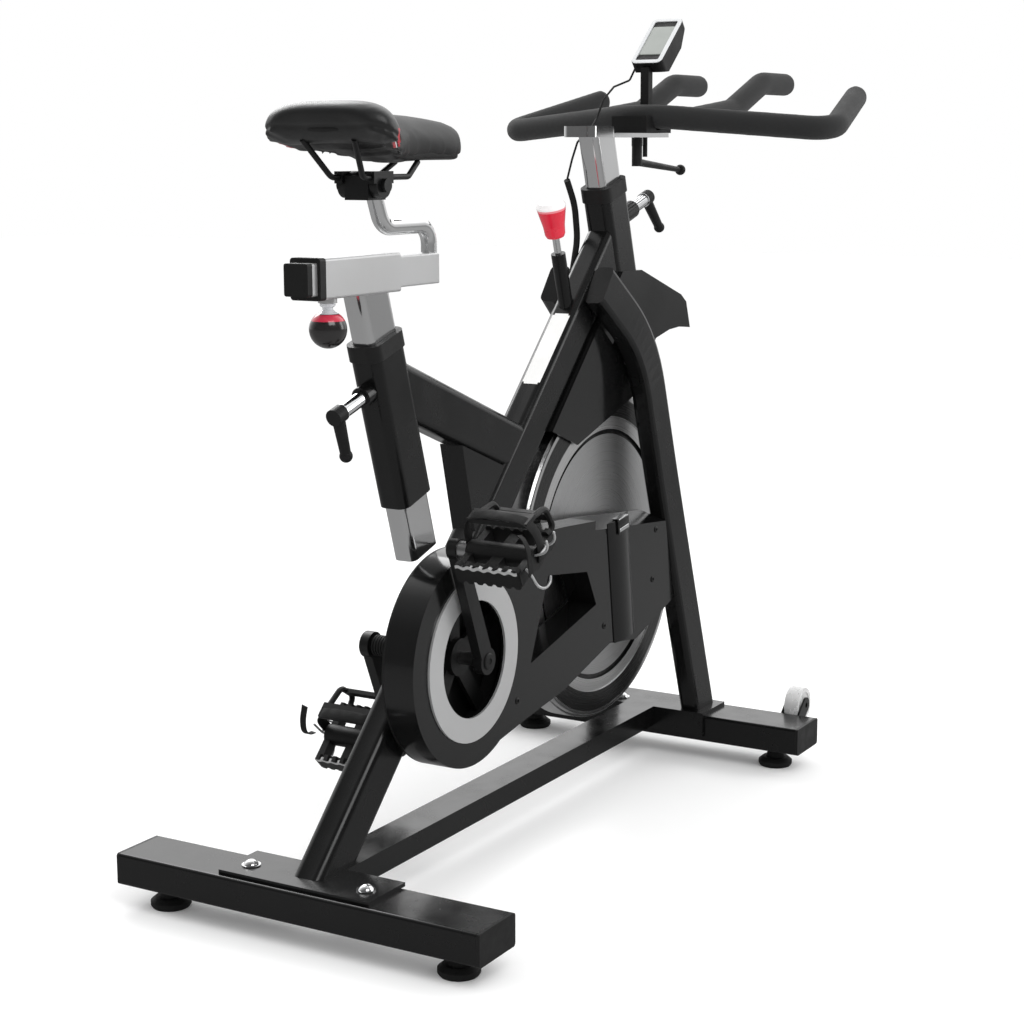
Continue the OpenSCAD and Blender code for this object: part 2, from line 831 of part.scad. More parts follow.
module crank_arm(s) {
    turn = s < 0 ? crank_angle : crank_angle + 180;
    boss_r = 17;
    tip_r = 13;
    difference() {
        translate([crank_x, s * crank_y(s), crank_z]) rotate([90, 0, 0])
            translate([0, 0, s < 0 ? -crank_t : 0]) linear_extrude(crank_t)
                rotate(turn) {
                    circle(r = boss_r);
                    translate([crank_len, 0]) circle(r = tip_r);
                    polygon([[0, -12.5], [crank_len, -10], [crank_len, 10], [0, 12.5]]);
                }
        across(crank_x, crank_z, s * (crank_y(s) - crank_t - 5), s * (crank_y(s) + 5), crank_axle_r);
        pedal_point(s) across(0, 0, s * (crank_y(s) - crank_t - 5), s * (crank_y(s) + 5), pedal_axle_r);
    }
}

// Moves a piece that is built round the crank tip's own axis
module pedal_point(s) {
    translate([crank_x - s * crank_tip_x, 0, crank_z - s * crank_tip_z]) children();
}

module crank_arms() {
    place("#232426") {
        crank_arm(-1);
        crank_arm(1);
    }
}

module pedal_axle(s) {
    pedal_point(s) {
        across(0, 0, s * (crank_y(s) - crank_t), s * (pedal_in_y(s) + pedal_w - 8), pedal_axle_r);
        across(0, 0, s * crank_y(s), s * (crank_y(s) + pedal_gap - 3), 11);
    }
}

// Serrated outline of a tread rail, as wide as the pedal
module serrated(low, high) {
    teeth = 7;
    tooth = 3;
    pitch = pedal_w / teeth;
    shape = [[0.1, 0], [0.3, tooth], [0.7, tooth], [0.9, 0]];
    polygon(concat(
        [for (k = [0:teeth - 1], q = shape) [(k + q.x) * pitch - pedal_w / 2, high + q.y]],
        [for (k = [teeth - 1:-1:0], q = shape) [(k + 1 - q.x) * pitch - pedal_w / 2, low - q.y]]
    ));
}

module tilted(s) {
    pedal_point(s) rotate([0, s < 0 ? -pedal_tilt_right : -pedal_tilt_left, 0]) children();
}

// Pedal: a central barrel, two side rails with a serrated tread and two end bars
tread_low = -12;
tread_high = 9;

module pedal(s) {
    rail = 8;
    mid_y = pedal_in_y(s) + pedal_w / 2;
    tilted(s) difference() {
        union() {
            across(0, 0, s * pedal_in_y(s), s * (pedal_in_y(s) + pedal_w), 14);
            for (e = [-1, 1]) {
                translate([e * (pedal_len / 2 - rail / 2) - rail / 2, s * mid_y, 0])
                    rotate([90, 0, 90]) linear_extrude(rail) serrated(tread_low, tread_high);
                translate([0, s * (mid_y + e * (pedal_w / 2 - 5)), (tread_low + tread_high) / 2])
                    cube([pedal_len - 2, 10, tread_high - tread_low - 4], center = true);
            }
            translate([0, s * mid_y, 0]) cube([pedal_len - 2, 16, 12], center = true);
        }
        across(0, 0, s * (pedal_in_y(s) - 1), s * (pedal_in_y(s) + pedal_w - 7), pedal_axle_r + run_gap);
    }
}

module pedal_right() {
    place(black_plastic) pedal(-1);
}

module pedal_left() {
    place(black_plastic) pedal(1);
}

// Toe cage: two bars from the pedal's front edge that curve back over the toe,
// a bar across their fronts and a flat strap plate across their tops
cage_reach = 18;
cage_h = 42;

module toe_cage(s) {
    front = pedal_len / 2;
    mid_y = pedal_in_y(s) + pedal_w / 2;
    half = pedal_w / 2 - 10;
    bar = 4;
    tilted(s) {
        for (e = [-1, 1])
            bent_rod([
                [front + 1, s * (mid_y + e * half), -2], [front + cage_reach, s * (mid_y + e * half), 2],
                [front + cage_reach - 8, s * (mid_y + e * half), cage_h - 8],
                [front - 34, s * (mid_y + e * half), cage_h + 2]
            ], [8, 12], bar, 8);
        translate([front + 1.5, s * mid_y, -2]) cube([3, 2 * half + 12, 10], center = true);
        translate([front + cage_reach - 5, s * mid_y, 20]) cube([6, 2 * half, 9], center = true);
        translate([front - 32, s * mid_y, cage_h + 2]) cube([22, 2 * half + 12, 6], center = true);
    }
}

module toe_cage_right() {
    place(black_plastic) toe_cage(-1);
}

module toe_cage_left() {
    place(black_plastic) toe_cage(1);
}

// ---------- drive guard ----------

guard_top_mid = [525, 421];
guard_top_bend = [635, 413];
guard_top_far = 393;
guard_low_front = 259;
guard_low = [[739, 222], [658, 233], [527, 197], [423, 182]];

// The guard's outline between two distances along Y: round housing and long cover
module guard_body(inset, y1, y2) {
    across(crank_x, crank_z, y1, y2, guard_r - inset);
    slab(y1, y2) polygon([
        [crank_x + 20, crank_z + guard_r - inset],
        [guard_top_mid.x, guard_top_mid.y - inset],
        [guard_top_bend.x, guard_top_bend.y - inset],
        [leg_back(guard_top_far) - guard_front_gap - inset, guard_top_far - inset],
        [leg_back(guard_low_front) - guard_front_gap - inset, guard_low_front + inset],
        [guard_low[0].x, guard_low[0].y + inset],
        [guard_low[1].x, guard_low[1].y + inset],
        [guard_low[2].x, guard_low[2].y + inset],
        [guard_low[3].x, guard_low[3].y + inset],
        [crank_x + 40, crank_z - guard_r + 12 + inset],
        [crank_x, crank_z]
    ]);
}

// Window between the two runs of the belt
module guard_window(grow) {
    polygon([
        [435 - grow, 254 - grow], [617 + grow, 297 - grow],
        [590 + grow, 348 + grow], [482 - grow, 363 + grow]
    ]);
}

bracket_slot_z = 30;

// What the sloping top edge of the outer face takes away; "drop" lowers it
module guard_slope(drop) {
    lean = 18;
    translate([guard_top_bend.x, -guard_back_y - 4, guard_top_bend.y])
        rotate([lean, atan2(guard_top_bend.y - guard_top_far, 834 - guard_top_bend.x), 0])
            translate([-20, -80, -drop]) cube([400, 100, 60]);
}

module guard_cover() {
    place(black_plastic) difference() {
        difference() {
            guard_body(0, -guard_y, -guard_back_y - guard_wall);
            guard_slope(0);
        }
        difference() {
            guard_body(guard_wall, -guard_y + guard_wall, -guard_back_y);
            slab(-guard_y, -guard_back_y + 1) guard_window(guard_wall);
            guard_slope(guard_wall);
        }
        slab(-guard_y - 1, -guard_back_y) guard_window(0);
        across(crank_x, crank_z, -guard_y - 1, -guard_back_y, ring_hole_r);
        translate([leg_back(wheel_z) - 20, -bracket_y - bracket_t - 0.5, wheel_z - bracket_slot_z])
            cube([60, bracket_t + 1, 2 * bracket_slot_z]);
    }
}

module guard_back() {
    boss_points = [[235, 222], [382, 372]];
    place(black_plastic) difference() {
        union() {
            guard_body(0, -guard_back_y - guard_wall, -guard_back_y);
            for (q = boss_points) across(q.x, q.y, -guard_back_y, -main_w / 2, 9);
        }
        slab(-guard_back_y - guard_wall - 1, -guard_back_y + 1) guard_window(0);
        across(crank_x, crank_z, -guard_back_y - 5, -guard_back_y + 5, shell_r + 1);
        across(wheel_x, wheel_z, -guard_back_y - 5, -guard_back_y + 5, hub_r + 6);
    }
}

ring_t = 3;

module guard_ring() {
    place("#c4c6c9") difference() {
        across(crank_x, crank_z, -guard_y - ring_t, -guard_y, ring_r);
        across(crank_x, crank_z, -guard_y - ring_t - 1, -guard_y + 1, ring_hole_r);
    }
}

band_w = 62;
band_len = 176;
band_rise = 8;
band_edge = 1.2;

// Glossy band across the guard's outer face, crowned along its width
module guard_band() {
    steps = 16;
    crown = [for (k = [0:steps])
        let (u = 2 * k / steps - 1)
        [u * band_w / 2, -band_edge - band_rise * (1 - u * u)]];
    place("#101011") translate([689, -guard_y, 322]) rotate([0, -7.6, 0])
        translate([0, 0, -band_len / 2]) linear_extrude(band_len)
            polygon(concat([[-band_w / 2, 0]], crown, [[band_w / 2, 0]]));
}

// Belt: a closed loop round both pulleys, a hair clear of them
function belt_tangent(r1, r2, d) = acos((r1 - r2) / d);

// The shape inside a loop round both pulleys, between two distances along Y
module belt_body(lift, y1, y2) {
    r1 = drive_r + lift;
    r2 = driven_r + lift;
    dx = wheel_x - crank_x;
    dz = wheel_z - crank_z;
    d = norm([dx, dz]);
    a = belt_tangent(r1, r2, d);
    top_1 = [r1 * cos(a), r1 * sin(a)];
    top_2 = [d + r2 * cos(a), r2 * sin(a)];
    past = unit(top_2 - top_1) * 4;
    e1 = top_1 - past;
    e2 = top_2 + past;
    across(crank_x, crank_z, y1, y2, r1);
    across(wheel_x, wheel_z, y1, y2, r2);
    slab(y1, y2) translate([crank_x, crank_z]) rotate(atan2(dz, dx))
        polygon([e1, e2, [e2.x, -e2.y], [e1.x, -e1.y]]);
}

module drive_belt() {
    half = belt_w / 2;
    place("#1c1c1c") difference() {
        belt_body(belt_lift + belt_t, -belt_y - half, -belt_y + half);
        belt_body(belt_lift, -belt_y - half - 1, -belt_y + half + 1);
    }
}

// ---------- feet and transport wheels ----------

module foot(x, s) {
    pad_h = 13;
    neck_r = 11;
    place(black_plastic) translate([x, s * foot_y, 0]) {
        rotate_extrude() polygon([
            [0, 0], [foot_dia / 2 - 2, 0], [foot_dia / 2, 3], [foot_dia / 2, pad_h - 5],
            [foot_dia / 2 - 6, pad_h], [neck_r + 3, pad_h], [neck_r, foot_h - 6],
            [neck_r, foot_h - seat_gap], [0, foot_h - seat_gap]
        ]);
        translate([0, 0, foot_h - 5]) cylinder(r = foot_stud_r, h = foot_boss_h + 7);
    }
}

module foot_rear_right() { foot(rear_x, -1); }
module foot_rear_left() { foot(rear_x, 1); }
module foot_front_right() { foot(front_x, -1); }
module foot_front_left() { foot(front_x, 1); }

module transport_wheel(s) {
    place("#e4e6e8") difference() {
        translate([roller_x, s * wheel_lug_y, roller_z]) rotate([90, 0, 0])
            rotate_extrude($fn = 64) difference() {
                translate([roller_pin_r + run_gap, -roller_w / 2]) square([roller_r - roller_pin_r, roller_w]);
                for (e = [-1, 1]) translate([10, e * (roller_w / 2) - 2]) square([10, 4]);
            }
    }
}

module transport_wheel_right() { transport_wheel(-1); }
module transport_wheel_left() { transport_wheel(1); }

// ---------- seat ----------

module seat_post() {
    place(chrome_steel) difference() {
        leaned(on_seat_axis(seat_post_out - seat_post_len), -post_lean)
            linear_extrude(seat_post_len + 20) round_ring([post_d, post_w], post_r, post_wall);
        translate([-200, -60, seat_post_top.z - 0.001]) cube([800, 120, 200]);
    }
}

// Box of the given section along X, standing between two places
module along(x1, x2, z, size, r) {
    translate([x1, 0, z]) rotate([0, 90, 0])
        linear_extrude(x2 - x1) round_rect([size.y, size.x], r);
}

slide_hole = [bar_w + 2 * slide_gap, bar_h + 2 * slide_gap];

module slide_housing() {
    place("#b9bbbe") difference() {
        union() {
            along(slide_back_x, slide_front_x, slide_z, [slide_w, slide_h], 3);
            translate([ball_x, 0, slide_z - slide_h / 2 - 6]) cylinder(r = 11, h = 8);
        }
        along(slide_back_x - 1, slide_front_x + 1, slide_z, slide_hole, 2.3);
        translate([ball_x, 0, slide_z - slide_h / 2 - 10]) cylinder(r = knob_stud_r + run_gap, h = 14);
    }
}

module slide_collar() {
    place(black_plastic) difference() {
        along(slide_back_x - collar_t, slide_back_x, slide_z, [slide_w + 2, slide_h + 2], 4);
        along(slide_back_x - collar_t - 1, slide_back_x + 1, slide_z, slide_hole, 2.3);
    }
}

// The bar's front end is notched round the upright stem that is welded to it
module slide_bar() {
    place("#b9bbbe") difference() {
        along(bar_back_x + end_cap_t, bar_front_x, slide_z, [bar_w, bar_h], 2);
        along(bar_back_x, bar_front_x + 1, slide_z, [bar_w - 6, bar_h - 6], 1);
        translate([stem_x, 0, slide_z - bar_h]) cylinder(r = stem_r, h = 2 * bar_h);
    }
}

module slide_end_cap() {
    place(black_plastic) {
        along(bar_back_x, bar_back_x + end_cap_t, slide_z, [bar_w, bar_h], 3);
        along(bar_back_x + end_cap_t - 1, bar_back_x + end_cap_t + 12, slide_z, [bar_w - 6.4, bar_h - 6.4], 1);
    }
}

stem_bend_x = stem_x - 102;
stem_tip = [clamp_x + 13, 0, clamp_z + 6];

module seat_stem() {
    place(chrome_steel) bent_rod([
        [stem_x, 0, stem_low], [stem_x, 0, stem_level], [stem_bend_x, 0, stem_level], stem_tip
    ], [24, 24], stem_r);
}

// Clamp: a block round the stem with a bolt across it that carries the jaws
jaw_in = 17;
jaw_w = 11;
clamp_bolt_r = 4;
rail_z = clamp_z + 9;

module saddle_clamp() {
    run = stem_tip - [stem_bend_x, 0, stem_level];
    place("#1b1b1c") difference() {
        union() {
            across(clamp_x, clamp_z, -jaw_in + 0.5, jaw_in - 0.5, 16);
            translate([clamp_x + 2, 0, clamp_z - 3]) cube([36, 2 * jaw_in - 1, 28], center = true);
            across(clamp_x, clamp_z, -jaw_in - jaw_w - 5, jaw_in + jaw_w + 5, clamp_bolt_r);
            for (s = [-1, 1])
                across(clamp_x, clamp_z, s * (jaw_in + jaw_w + seat_gap), s * (jaw_in + jaw_w + 6), 8);
        }
        translate([stem_bend_x, 0, stem_level]) rotate([0, atan2(run.x, run.z), 0])
            cylinder(r = stem_r, h = norm(run) + 1);
    }
}

// Two jaws that hold the rails and tilt with the saddle about the clamp's bolt
module rail_jaws() {
    place("#232325") for (s = [-1, 1]) difference() {
        union() {
            across(clamp_x, clamp_z, s * jaw_in, s * (jaw_in + jaw_w), 15);
            translate([clamp_x, s * (jaw_in + jaw_w / 2), rail_z]) cube([40, jaw_w, 14], center = true);
        }
        across(clamp_x, clamp_z, s * (jaw_in - 1), s * (jaw_in + jaw_w + 1), clamp_bolt_r + run_gap);
        translate([clamp_x, s * rail_y, rail_z]) rotate([0, 90, 0])
            cylinder(r = rail_r + 0.02, h = 80, center = true);
    }
}

shell_under = 902;

module saddle_rails() {
    place("#2b2c2e") for (s = [-1, 1])
        bent_rod([
            [clamp_x - 66, s * 34, shell_under + 9], [clamp_x - 34, s * rail_y, rail_z],
            [clamp_x + 60, s * rail_y, rail_z], [clamp_x + 90, s * 16, shell_under]
        ], [12, 14], rail_r, 10);
}

// Saddle sections from the rear edge to the nose, as [place along the length,
// share of the half width, height of the top, height of the lower edge]
saddle_form = [
    [0.00, 0.60, 960, 940], [0.02, 0.84, 967, 934], [0.05, 0.97, 971, 928], [0.09, 1.00, 972, 922],
    [0.15, 0.93, 971, 913], [0.22, 0.77, 967, 905], [0.28, 0.64, 962, 902], [0.36, 0.52, 957, 904],
    [0.46, 0.43, 954, 909], [0.58, 0.37, 952, 912], [0.72, 0.31, 951, 913], [0.86, 0.25, 947, 914],
    [0.95, 0.19, 942, 914], [1.00, 0.09, 934, 917]
];

// One arched section: z rises from the level base to the given height over it
function arch(x, half_w, base, height) = [
    for (k = [0:14])
        let (a = k * 180 / 14)
        [x, half_w * sign(cos(a)) * pow(abs(cos(a)), 0.7), base + height * pow(sin(a), 0.85)]
];

module loft(rings) {
    m = len(rings[0]);
    n = len(rings);
    points = [for (r = rings) each r];
    sides = [for (i = [0:n - 2], j = [0:m - 1])
        let (k = (j + 1) % m)
        each [[i * m + j, (i + 1) * m + k, i * m + k], [i * m + j, (i + 1) * m + j, (i + 1) * m + k]]];
    polyhedron(points, concat(sides, [[for (j = [0:m - 1]) j]], [[for (j = [m - 1:-1:0]) (n - 1) * m + j]]),
        convexity = 6);
}

function reversed(v) = [for (i = [len(v) - 1:-1:0]) v[i]];

module saddle_cushion() {
    place("#1a1a1b") loft([for (f = saddle_form)
        arch(saddle_x + saddle_len * f[0], saddle_w / 2 * f[1], f[3], f[2] - f[3])]);
}

shell_depth = 7;

module saddle_shell() {
    last = len(saddle_form) - 2;
    place("#161617") loft([for (i = [1:last])
        let (f = saddle_form[i])
        reversed(arch(saddle_x + saddle_len * f[0], saddle_w / 2 * f[1] * 0.86, f[3] - 0.02, -shell_depth))]);
}

knob_stud_r = 4;

// Pull and turn knob: a ball on a threaded stud with a waisted steel neck
module seat_knob() {
    under = slide_z - slide_h / 2 - 6 - seat_gap;
    neck = 10;
    place("#1a1515") translate([ball_x, 0, under]) {
        translate([0, 0, -2]) cylinder(r = knob_stud_r, h = 11);
        rotate_extrude() polygon([[0, -neck - 3], [9, -neck - 3], [9, -neck], [6, -neck + 3], [6, -5], [9, -3], [9, 0], [0, 0]]);
        translate([0, 0, -neck - ball_dia / 2 + 2]) rotate_extrude() intersection() {
            circle(r = ball_dia / 2);
            translate([0, -ball_dia / 2]) square([ball_dia, ball_dia - 2]);
        }
    }
}

// ---------- levers ----------

seat_lever_drop = 54;
head_lever_drop = 60;
lever_boss_r = 13;
seat_boss_len = 16;
head_boss_len = 40;
lever_stud_r = 5;

// Boss on a sleeve's face; side -1 is the rear face and 1 the front face
module lever_boss(p, side, length) {
    leaned(p, -post_lean) rotate([0, side * 90, 0]) translate([0, 0, sleeve_d / 2 - 1])
        difference() {
            cylinder(r = lever_boss_r, h = length + 1);
            translate([0, 0, length - 13]) cylinder(r = lever_stud_r + run_gap, h = 15);
        }
}

// Clamping lever: a stud in the boss, a steel collar, a hub and a hanging arm
module lever(p, side, boss, collar, arm_lean, arm_len) {
    face = sleeve_d / 2 + boss + seat_gap;
    leaned(p, -post_lean) rotate([0, side * 90, 0]) translate([0, 0, face]) {
        translate([0, 0, -12]) cylinder(r = lever_stud_r, h = 13);
        cylinder(r = 9, h = collar);
        translate([0, 0, collar - 1]) cylinder(r = 10.5, h = 18);
        translate([0, 0, collar + 8]) rotate([0, side * 90 - arm_lean, 0]) {
            cylinder(r1 = 8, r2 = 6.5, h = arm_len);
            translate([0, 0, arm_len]) sphere(r = 8);
        }
    }
}

module seat_lever() {
    place("#1b1b1c") lever(on_seat_axis(-seat_lever_drop), -1, seat_boss_len, 42, 0, 52);
}

module head_lever() {
    place("#1b1b1c") lever(on_head_axis(-head_lever_drop), 1, head_boss_len, 40, 29, 63);
}

bar_stud_x = bar_x - 12;
bar_guide_x = bar_x + 14;

module bar_lever() {
    top = plate_z - seat_gap;
    place("#1b1b1c") translate([bar_stud_x, 0, top]) {
        translate([0, 0, -4]) cylinder(r = 4, h = rail_t + 12);
        translate([0, 0, -12]) cylinder(r = 8, h = 12);
        translate([0, 0, -41]) cylinder(r = 7.5, h = 30);
        translate([0, 0, -35]) rotate([0, 95, 0]) {
            cylinder(r1 = 5.5, r2 = 4, h = 146);
            translate([0, 0, 146]) sphere(r = 8);
        }
    }
}

// ---------- handlebar ----------

rail_back_x = post_top.x - 58;
rail_slot_w = 9;

module handlebar_post() {
    head_len = 72;
    head_h = 15;
    place(chrome_steel) difference() {
        union() {
            difference() {
                leaned(on_head_axis(bar_post_out - bar_post_len), -post_lean)
                    linear_extrude(bar_post_len + 30) round_ring([post_d, post_w], post_r, post_wall);
                translate([0, -60, plate_z]) cube([1400, 120, 200]);
            }
            translate([rail_back_x + head_len / 2, 0, plate_z])
                linear_extrude(head_h) round_rect([head_len, 50], 12);
            translate([(rail_back_x + 20 + plate_front_x) / 2, 0, plate_z])
                linear_extrude(rail_t) round_rect([plate_front_x - rail_back_x - 20, 48], 6);
        }
        translate([rail_back_x + head_len + 14, -rail_slot_w / 2, plate_z - 1])
            cube([plate_front_x - rail_back_x - head_len - 26, rail_slot_w, rail_t + 2]);
    }
}

bar_corner = [966, bar_half_w, 942];
bar_tip = [1186, 217, 993];
horn_z = bar_z + 50;
bar_vertex_x = bar_x - 8;
grip_r = grip_dia / 2;
tube_r = bar_tube_dia / 2;

function flipped(p) = [p.x, -p.y, p.z];
bar_route = bent_route([bar_tip, bar_corner, [bar_vertex_x, 0, bar_z], flipped(bar_corner), flipped(bar_tip)],
    [38, 160, 38], 5);
bar_mid = (bar_route[9] + bar_route[10]) / 2;

// Crossbar with both outer horns; trim shortens the horns' ends
module bar_run(r, trim, sides) {
    tip = bar_tip - unit(bar_tip - bar_corner) * trim;
    bent_rod([tip, bar_corner, [bar_vertex_x, 0, bar_z], flipped(bar_corner), flipped(tip)],
        [38, 160, 38], r, sides, [0, 0, 1]);
}

// Inner horns; their roots are buried in the crossbar
module horn_run(r, trim, sides) {
    root_x = bar_vertex_x + (bar_corner.x - bar_vertex_x) * horn_y / bar_half_w;
    root_z = bar_z + (bar_corner.z - bar_z) * horn_y / bar_half_w;
    for (s = [-1, 1])
        bent_rod([
            [root_x + 4, s * horn_y, root_z], [bar_x + 150, s * horn_y, bar_z + 7],
            [bar_x + 262, s * horn_y, horn_z], [horn_tip_x - trim, s * horn_y, horn_z]
        ], [60, 60], r, sides);
}

clamp_under = plate_z + rail_t + seat_gap;

// Lower block that slides on the post's plate and grips the crossbar
module handlebar_clamp() {
    place("#1b1b1c") difference() {
        union() {
            translate([bar_x - clamp_len / 2 + 2, -clamp_w / 2, clamp_under])
                cube([clamp_len, clamp_w, bar_z - clamp_under - 2]);
            translate([bar_guide_x, 0, plate_z - 28]) cylinder(r = 3.5, h = clamp_under - plate_z + 30);
        }
        translate(bar_mid) rotate([90, 0, 0])
            cylinder(r = grip_r + 2.8, h = clamp_w + 40, center = true);
        translate([bar_stud_x, 0, clamp_under - 1]) cylinder(r = 4 + run_gap, h = 14);
    }
}

module handlebar() {
    place("#2d2e30") {
        bar_run(tube_r, 6, 12);
        horn_run(tube_r, 6, 12);
    }
}

module handlebar_foam() {
    place("#242424") difference() {
        union() {
            bar_run(grip_r, 0, 18);
            horn_run(grip_r, 0, 18);
        }
        bar_run(tube_r, 6, 12);
        horn_run(tube_r, 6, 12);
    }
}

// ---------- flywheel hood ----------

hood_half = 25.5;
hood_wall = 2.5;
hood_clear = 1;

module hood_side() {
    polygon([
        [582, 582 - main_edge], [770, 770 - main_edge], [787, 787 - main_edge], [846, 743], [979, 699],
        [997, 687], [1011, 647], [977, 651], [939, 649], [895, 640], [822, 561], [654, 511]
    ]);
}

// Distance of the hood's sloping back from the line x = z, just ahead of the main tube
main_edge = main_d / sqrt(2) + main_foot_x - deck_z + hood_clear;

// Room in the hood's cheeks for the leg on side s, between its shoulder and its top
module leg_gap(s) {
    run = leg_shoulder - leg_top;
    wide = leg_d / 2 + 2;
    translate([leg_top.x, s * (main_w / 2 - seat_gap + 20), leg_top.z]) rotate([0, atan2(run.x, run.z), 0])
        translate([-wide, -20, -60]) cube([2 * wide, 40, 60 + norm(run) * 0.72]);
}

module flywheel_hood() {
    place("#17181a") difference() {
        slab(-hood_half, hood_half) hood_side();
        slab(-hood_half + hood_wall, hood_half - hood_wall)
            translate([-0.6 * hood_wall, -2 * hood_wall]) hood_side();
        slab(-hood_half + hood_wall, hood_half - hood_wall)
            translate([-0.6 * hood_wall, -14 * hood_wall]) hood_side();
        sleeve_block(on_head_axis(0), head_sleeve_len + 2, 0.3);
        leaned(on_brake_axis(300), -post_lean) cylinder(r = brake_guide_r + 0.5, h = 170);
        for (s = [-1, 1]) leg_gap(s);
    }
}

// ---------- brake ----------

pad_top_s = 262;
pad_len = 16;

module brake_rod() {
    shoe_x = on_brake_axis(pad_top_s + pad_len);
    place(chrome_steel) {
        leaned(on_brake_axis(pad_top_s), -post_lean) cylinder(r = brake_rod_dia / 2, h = pad_top_s - 20);
        difference() {
            leaned(on_brake_axis(pad_top_s + pad_len), -post_lean)
                translate([-20, -15, 0]) cube([40, 30, pad_len]);
            translate([wheel_x, 0, wheel_z]) rotate([90, 0, 0])
                cylinder(r = wheel_r + brake_travel + 1, h = 100, center = true, $fn = 96);
        }
    }
}

module brake_knob() {
    place("#c01f33") leaned(on_brake_axis(52), -post_lean) difference() {
        rotate_extrude() polygon([
            [0, 0], [12, 0], [14, 4], [15, 16], [brake_knob_dia / 2 - 1, 38],
            [brake_knob_dia / 2, 44], [brake_knob_dia / 2 - 3, 50], [0, 52]
        ]);
        translate([0, 0, -1]) cylinder(r = brake_rod_dia / 2 + run_gap, h = 34);
    }
}

module brake_spring() {
    place(chrome_steel) difference() {
        leaned(on_brake_axis(258), -post_lean) cylinder(r = brake_rod_dia / 2 + 2.6, h = 30);
        brake_bore(brake_rod_dia / 2 + 0.4);
        leaned(on_brake_axis(300), -post_lean) cylinder(r = brake_rod_dia / 2 + 0.4, h = 100);
    }
}

// ---------- console ----------

console_low = [902, 0, 1038];
console_lean = 49;
mast_x = console_low.x + 5;
mast_size = 13;

module console_mast() {
    place(black_plastic) difference() {
        union() {
            translate([mast_x - mast_size / 2, -mast_size / 2, bar_z - 2]) cube([mast_size, mast_size, 70]);
            translate([mast_x - 12, -12, bar_z - 2]) cube([24, 24, 5]);
        }
        translate(bar_mid) rotate([90, 0, 0]) cylinder(r = grip_r + 0.8, h = 60, center = true);
        translate([console_low.x, 0, console_low.z]) rotate([0, console_lean, 0])
            translate([-20, -60, -0.1]) cube([300, 120, 400]);
    }
}

// Console: a face with rounded corners and a back that tapers to its rim
module console() {
    place("#c9cbcd") translate([console_low.x, 0, console_low.z]) rotate([0, console_lean, 0])
        difference() {
            intersection() {
                rotate([0, 90, 0]) translate([-console_h / 2, 0, 0])
                    linear_extrude(console_t) round_rect([console_h, console_w], 9);
                slab(-console_w, console_w) polygon([
                    [0, -1], [console_t * 0.6, -1], [console_t, 14], [console_t, console_h - 34],
                    [console_t * 0.35, console_h + 1], [0, console_h + 1]
                ]);
            }
            // recess for the screen
            rotate([0, 90, 0]) translate([-console_h / 2 + 2, 0, -1])
                linear_extrude(2) round_rect([console_h - 34, console_w - 12], 3);
        }
}

lead_r = 1.5;
lead_route = [[905, 17, 1032.1], [898, 23, 1014], [862, 30, 1004], [838, 34, 986], [824, 38, 958],
    [800, 34, 944], [768, 31, 933], [750, 29, 925], [733, 28, 902], [719.4, 28, 875.4]];

module console_lead() {
    place("#1a1a1b") sweep(eased(lead_route, [6, 8, 10, 10, 8, 7, 8, 10], 3), circle_points(lead_r, 8));
}

// Rubber tube on the frame that takes the lead's lower end
lead_tube_route = [[718, 28, 873], [741, 28, 838], [749, 28, 790], [735, 29, 740]];

module lead_tube() {
    place("#171718") sweep(eased(lead_tube_route, [16, 14], 5), circle_points(4.5, 12));
}

rear_stabilizer();
front_stabilizer();
stabilizer_end_caps();
base_beam();
dome_bolts();
main_tube();
top_tube();
post_sleeves();
front_legs();
lead_tube();
sleeve_bushes();
bearings();
axle_brackets();
flywheel_axle();
flywheel_hood();
guard_cover();
guard_back();
guard_ring();
guard_band();
drive_belt();
flywheel();
driven_pulley();
crank_axles();
drive_pulley();
crank_arms();
pedal_right();
pedal_left();
toe_cage_right();
toe_cage_left();
transport_wheel_right();
transport_wheel_left();
foot_rear_right();
foot_rear_left();
foot_front_right();
foot_front_left();
seat_post();
slide_housing();
slide_collar();
slide_bar();
slide_end_cap();
seat_stem();
saddle_clamp();
rail_jaws();
saddle_rails();
saddle_shell();
saddle_cushion();
seat_knob();
seat_lever();
head_lever();
bar_lever();
handlebar_post();
handlebar_clamp();
handlebar();
handlebar_foam();
brake_rod();
brake_knob();
brake_spring();
console_mast();
console();
console_lead();
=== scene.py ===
import math
import bpy
import bmesh
from mathutils import Matrix, Vector


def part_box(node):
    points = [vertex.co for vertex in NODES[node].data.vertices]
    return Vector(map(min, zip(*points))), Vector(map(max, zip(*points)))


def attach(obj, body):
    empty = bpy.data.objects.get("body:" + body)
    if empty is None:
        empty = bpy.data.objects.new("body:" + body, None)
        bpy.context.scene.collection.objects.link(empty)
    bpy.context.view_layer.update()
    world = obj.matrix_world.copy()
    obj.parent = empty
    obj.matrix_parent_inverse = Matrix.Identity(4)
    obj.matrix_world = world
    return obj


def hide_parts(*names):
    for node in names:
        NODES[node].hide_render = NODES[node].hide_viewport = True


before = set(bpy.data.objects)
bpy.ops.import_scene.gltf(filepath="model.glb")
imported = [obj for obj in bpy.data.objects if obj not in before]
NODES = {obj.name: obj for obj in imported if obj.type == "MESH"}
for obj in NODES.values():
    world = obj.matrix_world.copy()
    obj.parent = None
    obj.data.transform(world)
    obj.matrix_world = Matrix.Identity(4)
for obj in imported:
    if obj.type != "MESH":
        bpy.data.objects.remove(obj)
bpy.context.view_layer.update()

MID_X = 625.0  # the source's x at the middle of the bike, in millimetres


def at(x, y, z):
    """A place given in the source's millimetres, in the shared frame's metres."""
    return Vector(((x - MID_X) / 1000.0, y / 1000.0, z / 1000.0))


# ---------- shader graph helpers ----------

